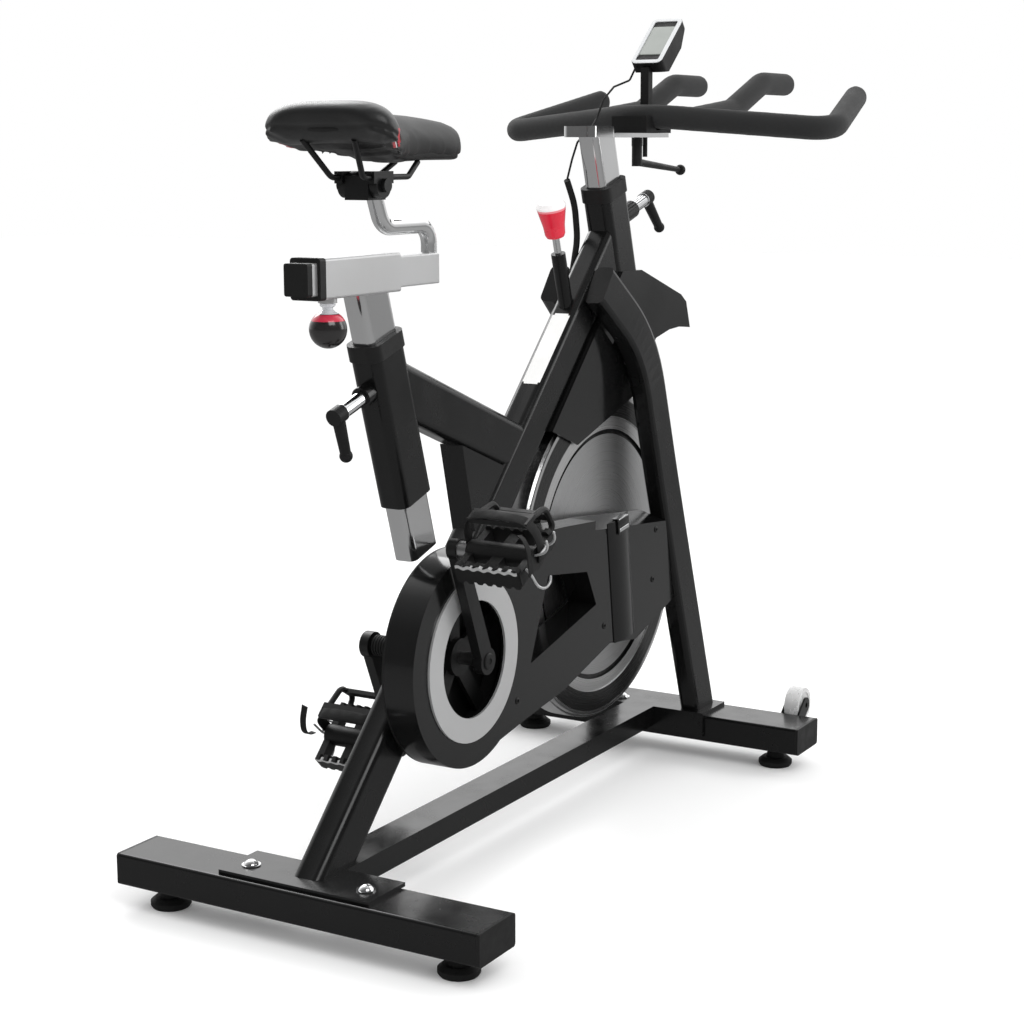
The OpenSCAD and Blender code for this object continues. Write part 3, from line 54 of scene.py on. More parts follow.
class Value:
    """One output socket, with arithmetic that adds Math nodes."""

    def __init__(self, graph, socket):
        self.graph, self.socket = graph, socket

    def math(self, kind, *others):
        return self.graph.add("ShaderNodeMath", self, *others, operation=kind)

    def __add__(self, other): return self.math("ADD", other)
    def __radd__(self, other): return self.math("ADD", other)
    def __sub__(self, other): return self.math("SUBTRACT", other)
    def __rsub__(self, other): return self.graph.add("ShaderNodeMath", other, self, operation="SUBTRACT")
    def __mul__(self, other): return self.math("MULTIPLY", other)
    def __rmul__(self, other): return self.math("MULTIPLY", other)
    def above(self, limit): return self.math("GREATER_THAN", limit)
    def below(self, limit): return self.math("LESS_THAN", limit)

    def ramp(self, low, high, to_low=0.0, to_high=1.0):
        return self.graph.add("ShaderNodeMapRange", self, low, high, to_low, to_high, clamp=True)

    def between(self, low, high):
        return self.above(low) * self.below(high)


class Nodes:
    """A node tree that is filled by method calls."""

    def __init__(self, tree):
        self.tree = tree
        self.tree.nodes.clear()

    def add(self, kind, *inputs, out=0, **settings):
        """Adds a node: plain settings are its properties, and in_ ones the sockets of that name."""
        node = self.tree.nodes.new(kind)
        named = {}
        for key, value in settings.items():
            if key.startswith("in_"):
                named[key[3:].replace("_", " ")] = value
            else:
                setattr(node, key, value)
        for key, value in list(enumerate(inputs)) + list(named.items()):
            if value is not None:
                self.feed(node.inputs[key], value)
        return Value(self, node.outputs[out]) if node.outputs else node

    def feed(self, socket, value):
        if isinstance(value, Value):
            self.tree.links.new(value.socket, socket)
        elif socket.type == "RGBA" and len(value) == 3:
            socket.default_value = (*value, 1.0)
        else:
            socket.default_value = value


class Graph(Nodes):
    """A material's node tree with a Principled shader."""

    def __init__(self, name, **settings):
        self.material = bpy.data.materials.new(name)
        self.material.use_nodes = True
        super().__init__(self.material.node_tree)
        self.shader = self.tree.nodes.new("ShaderNodeBsdfPrincipled")
        out = self.tree.nodes.new("ShaderNodeOutputMaterial")
        self.tree.links.new(self.shader.outputs[0], out.inputs[0])
        for key, value in settings.items():
            self.put(key.replace("_", " "), value)
        self.place = self.add("ShaderNodeTexCoord", out="Object")

    def put(self, name, value):
        self.feed(self.shader.inputs[name], value)

    def axis(self, which):
        return self.add("ShaderNodeSeparateXYZ", self.place, out=which)

    def dot(self, vector):
        return self.add("ShaderNodeVectorMath", self.place, vector, operation="DOT_PRODUCT", out="Value")

    def moved(self, scale, turn=(0, 0, 0)):
        return self.add("ShaderNodeMapping", self.place, None, turn, scale)

    def noise(self, scale, detail=2.0, rough=0.5, place=None):
        return self.add("ShaderNodeTexNoise", place or self.place, in_Scale=scale, in_Detail=detail,
                        in_Roughness=rough)

    def cells(self, scale):
        return self.add("ShaderNodeTexVoronoi", self.place, in_Scale=scale, out="Distance")

    def mix(self, factor, a, b):
        node = self.tree.nodes.new("ShaderNodeMix")
        node.data_type = "RGBA"
        self.feed(node.inputs[0], factor)
        self.feed(node.inputs[6], a)
        self.feed(node.inputs[7], b)
        return Value(self, node.outputs[2])

    def bump(self, height, strength, distance):
        self.put("Normal", self.add("ShaderNodeBump", in_Height=height, in_Strength=strength,
                                    in_Distance=distance))


def grey(v, tint=0.0):
    """A grey of value v, turned a little towards blue by tint."""
    return (v * (1 - tint), v, v * (1 + tint))


def paint(name, shade=0.0030, rough=0.22, peel=0.05, coat=0.08):
    """Black powder coat with a faint orange peel and cloudy gloss."""
    g = Graph(name, Coat_Weight=coat, Coat_Roughness=0.08, Specular_IOR_Level=0.32)
    cloud = g.noise(9.0, 3.0)
    g.put("Base Color", g.mix(cloud, grey(shade * 0.75), grey(shade * 1.5, 0.03)))
    g.put("Roughness", g.noise(26.0, 4.0).ramp(0.3, 0.75, rough * 0.75, rough * 1.45))
    fine = g.noise(520.0, 2.0)
    g.bump(fine + g.noise(150.0) * 1.6, peel, 0.0006)
    return g.material


def chrome(name, shade, rough=0.07):
    """Plated steel with faint smears and hairline wear."""
    g = Graph(name, Metallic=1.0)
    smear = g.noise(14.0, 5.0, 0.65, g.moved((1, 1, 0.35)))
    g.put("Base Color", g.mix(smear, grey(shade * 0.93), grey(shade * 1.02, 0.01)))
    g.put("Roughness", smear.ramp(0.35, 0.8, rough * 0.6, rough * 2.1))
    g.bump(g.noise(300.0, 3.0, 0.6, g.moved((1, 1, 0.08))), 0.03, 0.0003)
    return g.material


def brushed(name, shade, rough, along=(0.03, 1, 1), metallic=1.0, strength=0.10):
    """Metal with drawn lines along one direction."""
    g = Graph(name, Metallic=metallic)
    lines = g.noise(700.0, 3.0, 0.7, g.moved(along))
    cloud = g.noise(11.0, 3.0)
    g.put("Base Color", g.mix(cloud, grey(shade * 0.93), grey(shade * 1.05, 0.006)))
    g.put("Roughness", (lines * 0.55 + cloud * 0.45).ramp(0.25, 0.8, rough * 0.8, rough * 1.3))
    g.bump(lines, strength, 0.0004)
    return g.material


def plastic(name, shade=0.005, rough=0.5, grain=900.0, strength=0.22, colour=None):
    """Moulded plastic with a fine spark-eroded grain."""
    g = Graph(name, Specular_IOR_Level=0.35)
    base = colour or grey(shade)
    cloud = g.noise(13.0, 3.0)
    g.put("Base Color", g.mix(cloud, tuple(c * 0.8 for c in base), tuple(min(1.0, c * 1.22) for c in base)))
    g.put("Roughness", g.noise(60.0, 3.0).ramp(0.3, 0.7, rough * 0.85, rough * 1.12))
    g.bump(g.cells(grain) + g.noise(grain * 0.6) * 0.5, strength, 0.0004)
    return g.material


def gloss(name, shade=0.0036, rough=0.13):
    """Polished black moulding with hairline scratches and faint wipe marks."""
    g = Graph(name, Coat_Weight=0.15, Coat_Roughness=0.05, Specular_IOR_Level=0.36)
    cloud = g.noise(7.0, 4.0)
    g.put("Base Color", g.mix(cloud, grey(shade * 0.8), grey(shade * 1.5, 0.02)))
    hair = g.noise(420.0, 2.0, 0.5, g.moved((1, 0.05, 0.3), (0, 0.6, 0.3)))
    g.put("Roughness", (cloud * 0.7 + hair * 0.3).ramp(0.35, 0.7, rough * 0.7, rough * 2.0))
    g.bump(g.noise(60.0, 2.0), 0.02, 0.0008)
    return g.material


def flywheel_metal():
    """Turned steel disc: dark painted band, bright rings and fine concentric tool marks."""
    g = Graph("flywheel_steel")
    hub = at(742, 0, 340)
    groove_in, groove_out, band_in, band_out = 0.1745, 0.1812, 0.1998, 0.2272
    face = 0.0105
    dx = g.axis(0) - hub.x
    dz = g.axis(2) - hub.z
    r = (dx * dx + dz * dz).math("SQRT")
    rim = r.above(band_out)
    dark = r.between(band_in, band_out).math("MAXIMUM", r.between(groove_in, groove_out))
    dark = dark * g.axis(1).math("ABSOLUTE").above(face)
    ring = r.between(groove_out, band_in)
    marks = g.add("ShaderNodeTexNoise", None, r * 1400.0, noise_dimensions="1D", in_Scale=1.0, in_Detail=3.0)
    metal = g.mix(g.noise(8.0, 3.0), grey(0.52), grey(0.62, 0.01))
    bright = g.mix(ring.math("MAXIMUM", rim), metal, grey(0.70))
    g.put("Base Color", g.mix(dark, bright, grey(0.005)))
    g.put("Metallic", 1 - dark)
    g.put("Roughness", marks.ramp(0.3, 0.7, 0.26, 0.42) - rim * 0.14 - dark * 0.1)
    g.bump(marks, 0.10, 0.0003)
    return g.material


def foam_cover():
    """Closed-cell foam grip: soft and matt, with fine open pits; the pits are painted darker, a painted
    shade.
    """
    g = Graph("grip_foam", Sheen_Weight=0.08, Sheen_Roughness=0.6, Specular_IOR_Level=0.3)
    cloud = g.noise(17.0, 4.0)
    pore_pits_and_shade = g.cells(1300.0).ramp(0.0, 0.5)
    # The colour is a random cloudy tone, and it is darker in the pore pits: painted shade in the pits that
    # the bump makes.
    g.put("Base Color", g.mix(cloud * 0.6 + pore_pits_and_shade * 0.4, grey(0.006), grey(0.017, 0.02)))
    g.put("Roughness", cloud.ramp(0.3, 0.7, 0.78, 0.92))
    g.bump(pore_pits_and_shade + g.noise(420.0, 3.0), 0.35, 0.0006)
    return g.material


def saddle_cover():
    """Coated cover: smooth black seat panels, a greyer matt nose and striped wing tips."""
    g = Graph("saddle_cover", Specular_IOR_Level=0.45, Sheen_Weight=0.02)
    x, y, z = g.axis(0), g.axis(1), g.axis(2)
    side = y.math("ABSOLUTE")
    nose = (x + (y * y) * 5.0).ramp(-0.4495, -0.4475)
    top = z.ramp(0.9150, 0.9350)
    cloud = g.noise(24.0, 4.0)
    black = g.mix(cloud, grey(0.004), grey(0.010, 0.02))
    soft = g.mix(cloud, grey(0.026), grey(0.042, 0.01))
    # stripes: red, white, gap, red, counted across a slanted line on each wing tip
    wing = side.above(0.046) * x.between(-0.5035, -0.4855) * z.between(0.904, 0.940)
    across = x * 0.49 + side * 0.87 + 0.1785
    red = wing * across.between(0.0, 0.0032).math("MAXIMUM", across.between(0.0058, 0.0085))
    white = wing * across.between(0.0032, 0.0044)
    base = g.mix(red, g.mix(nose * top, black, soft), (0.35, 0.02, 0.03))
    g.put("Base Color", g.mix(white, base, grey(0.55)))
    g.put("Roughness", nose.ramp(0.0, 1.0, 0.36, 0.55) + cloud * 0.06)
    g.bump(g.cells(640.0).ramp(0.0, 0.6) + g.noise(1500.0) * 0.4, 0.16, 0.0005)
    return g.material


def along_axis(name, base_point, axis, bands, rough=0.28):
    """Plastic whose colour changes along an axis: bands are (from, to, colour), the first the ground."""
    g = Graph(name, Specular_IOR_Level=0.5, Coat_Weight=0.4, Coat_Roughness=0.1)
    s = g.dot(tuple(axis)) - base_point.dot(axis)
    cloud = g.noise(40.0, 3.0)
    colour = g.mix(cloud, tuple(c * 0.9 for c in bands[0][2]), bands[0][2])
    for low, high, shade in bands[1:]:
        colour = g.mix(s.between(low, high), colour, shade)
    g.put("Base Color", colour)
    g.put("Roughness", cloud.ramp(0.3, 0.7, rough * 0.8, rough * 1.3))
    g.bump(g.noise(500.0), 0.05, 0.0004)
    return g.material


def clear_plastic():
    """Milky clear plastic of the transport rollers."""
    g = Graph("clear_roller", Transmission_Weight=0.35, IOR=1.46, Specular_IOR_Level=0.6)
    cloud = g.noise(50.0, 3.0)
    g.put("Base Color", g.mix(cloud, grey(0.72), grey(0.88)))
    g.put("Roughness", cloud.ramp(0.3, 0.7, 0.16, 0.34))
    g.bump(g.noise(220.0), 0.06, 0.0004)
    return g.material


def screen_glass():
    """Plain grey liquid crystal window under a glossy cover."""
    g = Graph("console_screen", Coat_Weight=0.8, Coat_Roughness=0.05)
    cloud = g.noise(30.0, 2.0)
    g.put("Base Color", g.mix(cloud, (0.22, 0.24, 0.22), (0.30, 0.32, 0.30)))
    g.put("Roughness", cloud.ramp(0.3, 0.7, 0.14, 0.24))
    g.bump(g.noise(900.0), 0.02, 0.0002)
    return g.material


POST_LEAN = math.radians(17.2)  # both posts and the brake rod lean back by this
UP = Vector((-math.sin(POST_LEAN), 0.0, math.cos(POST_LEAN)))
OUT = Vector((UP.z, 0.0, -UP.x))


def on_axis(x, z, s):
    """A place s millimetres up a post's line from (x, z)."""
    return at(x + UP.x * s, 0, z + UP.z * s)


MAT = {
    "frame": paint("frame_paint"),
    "satin": paint("satin_paint", 0.0045, 0.36, 0.08, 0.05),
    "chrome": chrome("chrome_plate", 0.76),
    "post": brushed("post_chrome", 0.66, 0.14, (1, 1, 0.03), strength=0.03),
    "steel": brushed("plain_steel", 0.40, 0.30, (1, 0.05, 1)),
    "alu": brushed("slide_aluminium", 0.52, 0.36, (0.03, 1, 1), 0.75, 0.06),
    "silver": brushed("silver_trim", 0.52, 0.30, (1, 0.2, 1), 0.55, 0.05),
    "plastic": plastic("black_moulding"),
    "rubber": plastic("black_rubber", 0.006, 0.72, 500.0, 0.30),
    "gloss": gloss("gloss_black"),
    "wheel": flywheel_metal(),
    "foam": foam_cover(),
    "saddle": saddle_cover(),
    "clear": clear_plastic(),
    "screen": screen_glass(),
    "case": plastic("console_silver", rough=0.34, strength=0.04, colour=(0.62, 0.63, 0.64)),
    "white": plastic("white_label", rough=0.45, strength=0.05, colour=(0.78, 0.78, 0.77)),
    "brake": along_axis("brake_knob_red", on_axis(620, 848, 0), UP,
                        [(0, 0, (0.62, 0.012, 0.035)), (-0.011, 0.02, (0.80, 0.78, 0.78)),
                         (-0.0135, -0.0105, (0.72, 0.20, 0.23))]),
}


def ball_material():
    """Black ball with a red ring and a pale top, counted from just under the knob's top."""
    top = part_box("seat_knob")[1].z - 0.0085
    return along_axis("ball_knob", Vector((0, 0, top)), Vector((0, 0, 1)),
                      [(0, 0, (0.012, 0.011, 0.011)), (-0.0205, -0.0130, (0.50, 0.03, 0.06)),
                       (-0.0125, 0.02, (0.55, 0.56, 0.58))], 0.16)


def lever_finish(name, origin, axis, low, high):
    """Black lever with a plated collar between two distances along its stud."""
    g = Graph(name, Specular_IOR_Level=0.15)
    s = g.dot(tuple(axis)) - origin.dot(axis)
    collar = s.between(low, high)
    cloud = g.noise(45.0, 3.0)
    g.put("Base Color", g.mix(collar, g.mix(cloud, grey(0.006), grey(0.013, 0.02)), grey(0.80, 0.01)))
    g.put("Metallic", collar)
    g.put("Roughness", cloud.ramp(0.3, 0.7, 0.34, 0.44) - collar * 0.28)
    g.bump(g.noise(600.0), 0.05, 0.0004)
    return g.material


FINISH = {
    "frame": ("rear_stabilizer front_stabilizer base_beam main_tube top_tube post_sleeves front_legs "
              "axle_brackets"),
    "gloss": "flywheel_hood guard_cover guard_band",
    "chrome": "dome_bolts flywheel_axle brake_rod",
    "post": "seat_post handlebar_post",
    "steel": "bearings driven_pulley crank_axles handlebar brake_spring",
    "alu": "slide_housing slide_bar",
    "silver": "guard_ring",
    "satin": "crank_arms saddle_clamp rail_jaws",
    "plastic": ("stabilizer_end_caps sleeve_bushes guard_back drive_pulley pedal_right pedal_left "
                "toe_cage_right toe_cage_left slide_collar slide_end_cap saddle_shell handlebar_clamp "
                "console_mast console bar_lever"),
    "rubber": ("lead_tube drive_belt foot_rear_right foot_rear_left foot_front_right foot_front_left "
               "console_lead"),
    "wheel": "flywheel",
    "clear": "transport_wheel_right transport_wheel_left",
    "brake": "brake_knob",
}


# ---------- mesh helpers ----------

def new_object(name, bm, material, body=None, smooth=True, angle=None):
    """Makes an object of a mesh, with edges over angle degrees kept sharp, riding on a body."""
    mesh = bpy.data.meshes.new(name)
    bmesh.ops.recalc_face_normals(bm, faces=bm.faces)
    bm.to_mesh(mesh)
    bm.free()
    obj = bpy.data.objects.new(name, mesh)
    bpy.context.scene.collection.objects.link(obj)
    mesh.materials.append(MAT[material] if isinstance(material, str) else material)
    for poly in mesh.polygons:
        poly.use_smooth = smooth
    if angle:
        split(obj, angle)
    if body:
        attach(obj, body)
    return obj


def finish_with(obj, name, kind, **settings):
    """Adds a modifier with its settings."""
    mod = obj.modifiers.new(name, kind)
    for key, value in settings.items():
        setattr(mod, key, value)


def split(obj, angle):
    finish_with(obj, "edges", "EDGE_SPLIT", split_angle=math.radians(angle))


def apply_all(obj):
    bpy.ops.object.select_all(action="DESELECT")
    bpy.context.view_layer.objects.active = obj
    obj.select_set(True)
    for mod in list(obj.modifiers):
        bpy.ops.object.modifier_apply(modifier=mod.name)
    obj.select_set(False)


def smooth_shaded(obj):
    for poly in obj.data.polygons:
        poly.use_smooth = True

def bent(points, bends, steps=10):
    """Route through points with true bends of the given radii at its corners, in millimetres."""
    p = [Vector(q) for q in points]
    route = [p[0]]
    for i in range(1, len(p) - 1):
        d = (p[i] - p[i - 1]).normalized()
        out = (p[i + 1] - p[i]).normalized()
        turn = math.acos(max(-1.0, min(1.0, d.dot(out))))
        side = (out - d * d.dot(out)).normalized()
        r = bends[i - 1]
        start = p[i] - d * r * math.tan(turn / 2)
        for k in range(steps + 1):
            a = turn * k / steps
            route.append(start + d * r * math.sin(a) + side * r * (1 - math.cos(a)))
    route.append(p[-1])
    return route


def eased(points, steps=8):
    """Smooth curve through points (Catmull-Rom), in millimetres."""
    p = [Vector(q) for q in points]
    p = [p[0] * 2 - p[1]] + p + [p[-1] * 2 - p[-2]]
    out = []
    for i in range(1, len(p) - 2):
        for k in range(steps):
            t = k / steps
            a, b, c, d = p[i - 1], p[i], p[i + 1], p[i + 2]
            out.append(0.5 * ((2 * b) + (c - a) * t + (2 * a - 5 * b + 4 * c - d) * t * t
                              + (3 * b - a - 3 * c + d) * t ** 3))
    out.append(p[-2])
    return out


def band(bm, a, b):
    """Faces between two rings of vertices."""
    for k in range(len(a)):
        n = (k + 1) % len(a)
        bm.faces.new((a[k], a[n], b[n], b[k]))


def skin(bm, rings):
    """Faces along a row of rings, closed at both ends."""
    for a, b in zip(rings, rings[1:]):
        band(bm, a, b)
    bm.faces.new(rings[0][::-1])
    bm.faces.new(rings[-1])


def heading(p, i):
    """Direction of a route at its point i."""
    return (p[min(i + 1, len(p) - 1)] - p[max(i - 1, 0)]).normalized()


def tube(bm, route, r, sides=32, dome=0.0):
    """Adds a round tube along a route in millimetres; dome rounds its ends by that length."""
    p = [Vector(q) for q in route]
    radii = [r] * len(p)
    if dome:
        ahead, back = (p[1] - p[0]).normalized(), (p[-2] - p[-1]).normalized()
        arc = [math.pi / 2 * k / 6 for k in range(7)]
        cap = [(dome * (1 - math.cos(a)), r - dome + dome * math.sin(a)) for a in arc]
        p = [p[0] + ahead * d for d, _ in cap] + p[1:-1] + [p[-1] + back * d for d, _ in cap[::-1]]
        radii = [q for _, q in cap] + [r] * (len(route) - 2) + [q for _, q in cap[::-1]]
    normal = heading(p, 0).orthogonal().normalized()
    rings = []
    for i, c in enumerate(p):
        t = heading(p, i)
        normal = (normal - t * t.dot(normal)).normalized()
        other = t.cross(normal)
        ring = []
        for k in range(sides):
            a = 2 * math.pi * k / sides
            q = c + (normal * math.cos(a) + other * math.sin(a)) * radii[i]
            ring.append(bm.verts.new(at(*q)))
        rings.append(ring)
    skin(bm, rings)


# ---------- camera, light, floor ----------

def look_matrix(place, yaw, pitch, roll):
    """A camera's place and turn: yaw to the left from +X, pitch down and roll, in degrees."""
    y, p, r = (math.radians(v) for v in (yaw, pitch, roll))
    ahead = Vector((math.cos(y) * math.cos(p), math.sin(y) * math.cos(p), -math.sin(p)))
    right = Vector((math.sin(y), -math.cos(y), 0.0))
    up = right.cross(ahead)
    right, up = right * math.cos(r) + up * math.sin(r), up * math.cos(r) - right * math.sin(r)
    m = Matrix((right, up, -ahead)).transposed().to_4x4()
    m.translation = place
    return m


CAMERA_PLACE = at(-1776.5, -1346.94, 919.42)
CAMERA_YAW, CAMERA_PITCH, CAMERA_ROLL = 30.4385, 10.3053, -0.184
CAMERA_LENS = 70.66

cam_data = bpy.data.cameras.new("camera")
cam_data.sensor_width = 36.0
cam_data.lens = CAMERA_LENS
camera = bpy.data.objects.new("camera", cam_data)
bpy.context.scene.collection.objects.link(camera)
camera.matrix_world = look_matrix(CAMERA_PLACE, CAMERA_YAW, CAMERA_PITCH, CAMERA_ROLL)
bpy.context.scene.camera = camera
bpy.context.scene.view_settings.view_transform = "Standard"

# The camera and soft light see a plain white world. What shines sees a room that is dim on one
# side and brightest high up on the other, so that black paint stays dark and metal has contrast.
world = bpy.data.worlds.new("studio")
bpy.context.scene.world = world
world.use_nodes = True
sky = Nodes(world.node_tree)
ray = sky.add("ShaderNodeLightPath", out="Is Camera Ray")
shine = sky.add("ShaderNodeLightPath", out="Is Glossy Ray")
toward = sky.add("ShaderNodeTexCoord", out="Generated")
ahead = sky.add("ShaderNodeVectorMath", toward, (0.82, 0.48, 0.30), operation="DOT_PRODUCT", out="Value")
height = sky.add("ShaderNodeSeparateXYZ", toward, out=2)
room = ahead.ramp(-0.15, 0.80, 0.14, 0.95) + ahead.ramp(0.30, 0.80) * height.ramp(0.12, 0.42) * 1.1
level = shine * room + (1 - shine)
back = sky.add("ShaderNodeBackground", (1.0, 1.0, 1.0), ray.math("MAXIMUM", level * (1 - ray)))
sky.add("ShaderNodeOutputWorld", back)


def soft_light(name, place, aim, size, power):
    """Rectangular lamp of a size in metres and a power in watts, turned to aim."""
    data = bpy.data.lights.new(name, "AREA")
    data.shape = "RECTANGLE"
    data.size, data.size_y = size
    data.energy = power
    obj = bpy.data.objects.new(name, data)
    bpy.context.scene.collection.objects.link(obj)
    obj.location = place
    obj.rotation_euler = (Vector(aim) - Vector(place)).to_track_quat("-Z", "Y").to_euler()


soft_light("key", (-1.4, -1.9, 2.6), (0, 0, 0.45), (1.8, 1.2), 30)
soft_light("side", (1.6, -2.3, 1.5), (0.1, 0, 0.4), (1.0, 1.8), 16)
soft_light("back", (0.9, 1.9, 2.2), (0, 0, 0.6), (1.6, 1.0), 22)

FLOOR_DROP = 0.0004  # the floor lies this far under the feet, so that the two don't flicker

ground = Graph("studio_floor", Specular_IOR_Level=0.0, Emission_Color=(1.0, 1.0, 1.0, 1.0),
               Emission_Strength=0.05)
pale = ground.mix(ground.noise(3.0), grey(0.955), grey(0.97))
# Shiny surfaces see the floor painted a dim grey in place of its pale colour: a painted dark reflection of
# the floor.
shine = ground.add("ShaderNodeLightPath", out="Is Glossy Ray")
ground.put("Base Color", ground.mix(shine, pale, grey(0.26)))
ground.put("Roughness", ground.noise(5.0).ramp(0.3, 0.7, 0.9, 1.0))
bm = bmesh.new()
bmesh.ops.create_grid(bm, x_segments=2, y_segments=2, size=14.0)
floor = new_object("studio_floor_plane", bm, ground.material, smooth=False)
floor.data.transform(Matrix.Translation((0, 0, -FLOOR_DROP)))

# ---------- finishes on the CAD nodes ----------

def wear(name, material):
    """Gives a CAD node one finish."""
    NODES[name].data.materials.clear()
    NODES[name].data.materials.append(material)


for key, names in FINISH.items():
    for name in names.split():
        wear(name, MAT[key])
wear("seat_knob", ball_material())
wear("seat_lever", lever_finish("seat_lever_finish", on_axis(196, 694, -54), -OUT, 0.0492, 0.0912))
wear("head_lever", lever_finish("head_lever_finish", on_axis(774, 865, -60), OUT, 0.0732, 0.1132))

# widths of the softened edges, in millimetres
BEVEL = {
    "stabilizer_end_caps": 1.2, "guard_cover": 1.6, "guard_ring": 0.8, "flywheel_hood": 1.0,
    "slide_collar": 1.2, "slide_end_cap": 1.2, "handlebar_clamp": 3.0, "crank_arms": 2.0,
    "handlebar_post": 1.0, "console": 2.0, "base_beam": 0.8, "drive_pulley": 1.0, "pedal_right": 1.2,
    "pedal_left": 1.2, "rail_jaws": 1.2, "sleeve_bushes": 0.8, "slide_housing": 0.5, "slide_bar": 0.5,
    "post_sleeves": 0.5, "front_stabilizer": 0.6,
}
for name, obj in NODES.items():
    smooth_shaded(obj)
    if name in BEVEL:
        finish_with(obj, "bevel", "BEVEL", width=BEVEL[name] / 1000.0, segments=2, limit_method="ANGLE",
                    angle_limit=math.radians(50), use_clamp_overlap=True)
    split(obj, 32)

# ---------- foam grips on the handlebar ----------

BAR_CORNER = (966, 268, 942)
BAR_TIP = (1186, 217, 993)
VERTEX = (882, 0, 964)
GRIP_R = 17.3
HORN_Y = 75  # the two forward horns stand this far from the middle


def mirror_y(p):
    return (p[0], -p[1], p[2])


def fused(name, bm, voxel, material, body, rounds=6):
    """Joins overlapping tubes into one skin with soft roots."""
    obj = new_object(name, bm, material)
    finish_with(obj, "skin", "REMESH", mode="VOXEL", voxel_size=voxel)
    finish_with(obj, "even", "SMOOTH", factor=0.5, iterations=rounds)
    apply_all(obj)
    smooth_shaded(obj)
    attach(obj, body)
    return obj


def make_foam():
    """Foam cover of the whole bar: the bent crossbar and two forward horns grown from it."""
    bm = bmesh.new()
    tube(bm, bent([BAR_TIP, BAR_CORNER, VERTEX, mirror_y(BAR_CORNER), mirror_y(BAR_TIP)],
                  [38, 160, 38], 14), GRIP_R, 48, 7)
    share = HORN_Y / BAR_CORNER[1]
    root_x = VERTEX[0] + (BAR_CORNER[0] - VERTEX[0]) * share
    root_z = VERTEX[2] + (BAR_CORNER[2] - VERTEX[2]) * share
    for s in (-1, 1):
        y = s * HORN_Y
        tube(bm, bent([(root_x + 4, y, root_z), (1040, y, 971), (1152, y, 1014), (1250, y, 1014)],
                      [60, 60], 14), GRIP_R, 48, 7)
    foam = fused("foam_grips", bm, 0.0032, "foam", "handlebar_unit")
    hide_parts("handlebar_foam")


make_foam()

# ---------- console lead ----------

LEAD = [(905, 17, 1032.1), (898, 23, 1014), (862, 30, 1004), (838, 34, 986), (824, 38, 958),
        (800, 34, 944), (768, 31, 933), (750, 29, 925), (733, 28, 902), (719.4, 28, 875.4)]


def make_lead():
    """Thin two-core lead from the console's back down to the rubber tube on the frame."""
    route = bent(LEAD, [6, 8, 10, 10, 8, 7, 8, 10], 4)
    bm = bmesh.new()
    tube(bm, route, 1.5, 16)
    lead = new_object("console_cord", bm, "rubber", "handlebar_unit", angle=60)
    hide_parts("console_lead")
    run = [at(*p) for p in route]


make_lead()

# ---------- bent seat stem and rails ----------

SEAT_TOP = (178.553, 750.362)           # x and z of the seat post's top
STEM_X = SEAT_TOP[0] - 108 + 243 + 3    # the stem's foot on the slide bar
SLIDE_Z = SEAT_TOP[1] + 23              # middle of the slide bar
STEM_Z = SLIDE_Z + 18.5 + 34            # the stem's level run
CLAMP = (STEM_X - 138, STEM_Z + 50)     # x and z of the saddle clamp

bm = bmesh.new()
tube(bm, bent([(STEM_X, 0, SLIDE_Z - 18.5), (STEM_X, 0, STEM_Z), (STEM_X - 102, 0, STEM_Z),
               (CLAMP[0] + 13, 0, CLAMP[1] + 6)], [24, 24], 14), 10, 48)
stem = new_object("stem_tube", bm, "chrome", "seat_slide", angle=40)
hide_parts("seat_stem")

bm = bmesh.new()
for s in (-1, 1):
    tube(bm, bent([(CLAMP[0] - 70, s * 36, 928), (CLAMP[0] - 34, s * 22, CLAMP[1] + 9),
                   (CLAMP[0] + 60, s * 22, CLAMP[1] + 9), (CLAMP[0] + 90, s * 16, 902)],
                  [12, 14], 10), 3.5, 24)
rails = new_object("rail_rods", bm, "satin", "saddle", angle=40)
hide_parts("saddle_rails")

# ---------- padded saddle ----------

# stations from rear to nose: share of the length, share of the half width, top and base in millimetres
FORM = [
    (0.00, 0.60, 960, 940), (0.02, 0.84, 967, 934), (0.05, 0.97, 971, 928), (0.09, 1.00, 972, 922),
    (0.15, 0.93, 971, 912), (0.22, 0.77, 967, 903), (0.28, 0.64, 962, 900), (0.36, 0.52, 957, 903),
    (0.46, 0.43, 955, 907), (0.58, 0.37, 954, 908), (0.72, 0.32, 954, 909), (0.86, 0.27, 952, 909),
    (0.95, 0.22, 947, 909), (1.00, 0.12, 940, 912),
]
SADDLE_X = STEM_X - 231
SADDLE_LONG = 295
SADDLE_HALF = 93


def held(value):
    """A value kept between 0 and 1."""
    return min(1.0, max(0.0, value))


def form_at(f):
    for a, b in zip(FORM, FORM[1:]):
        if f <= b[0]:
            t = (f - a[0]) / (b[0] - a[0])
            return [a[k] + (b[k] - a[k]) * t for k in range(4)]
    return FORM[-1]


def soft_form(f):
    """The form's width, top and base at f, averaged over a short length so that it has no corners."""
    spread = 0.025
    parts = [form_at(held(f + spread * k / 3)) for k in range(-3, 4)]
    return [sum(p[k] for p in parts) / 7 for k in range(4)]


def square_at(f):
    """How square the section is: 1 over the rear roll, 0 along the nose."""
    return held((0.34 - f) / 0.20)


def hollow_at(f):
    """Height of the middle of the pad's underside above its side edges."""
    return 6.0 * square_at(f) + 17.0 * math.exp(-((f - 0.27) / 0.12) ** 2)


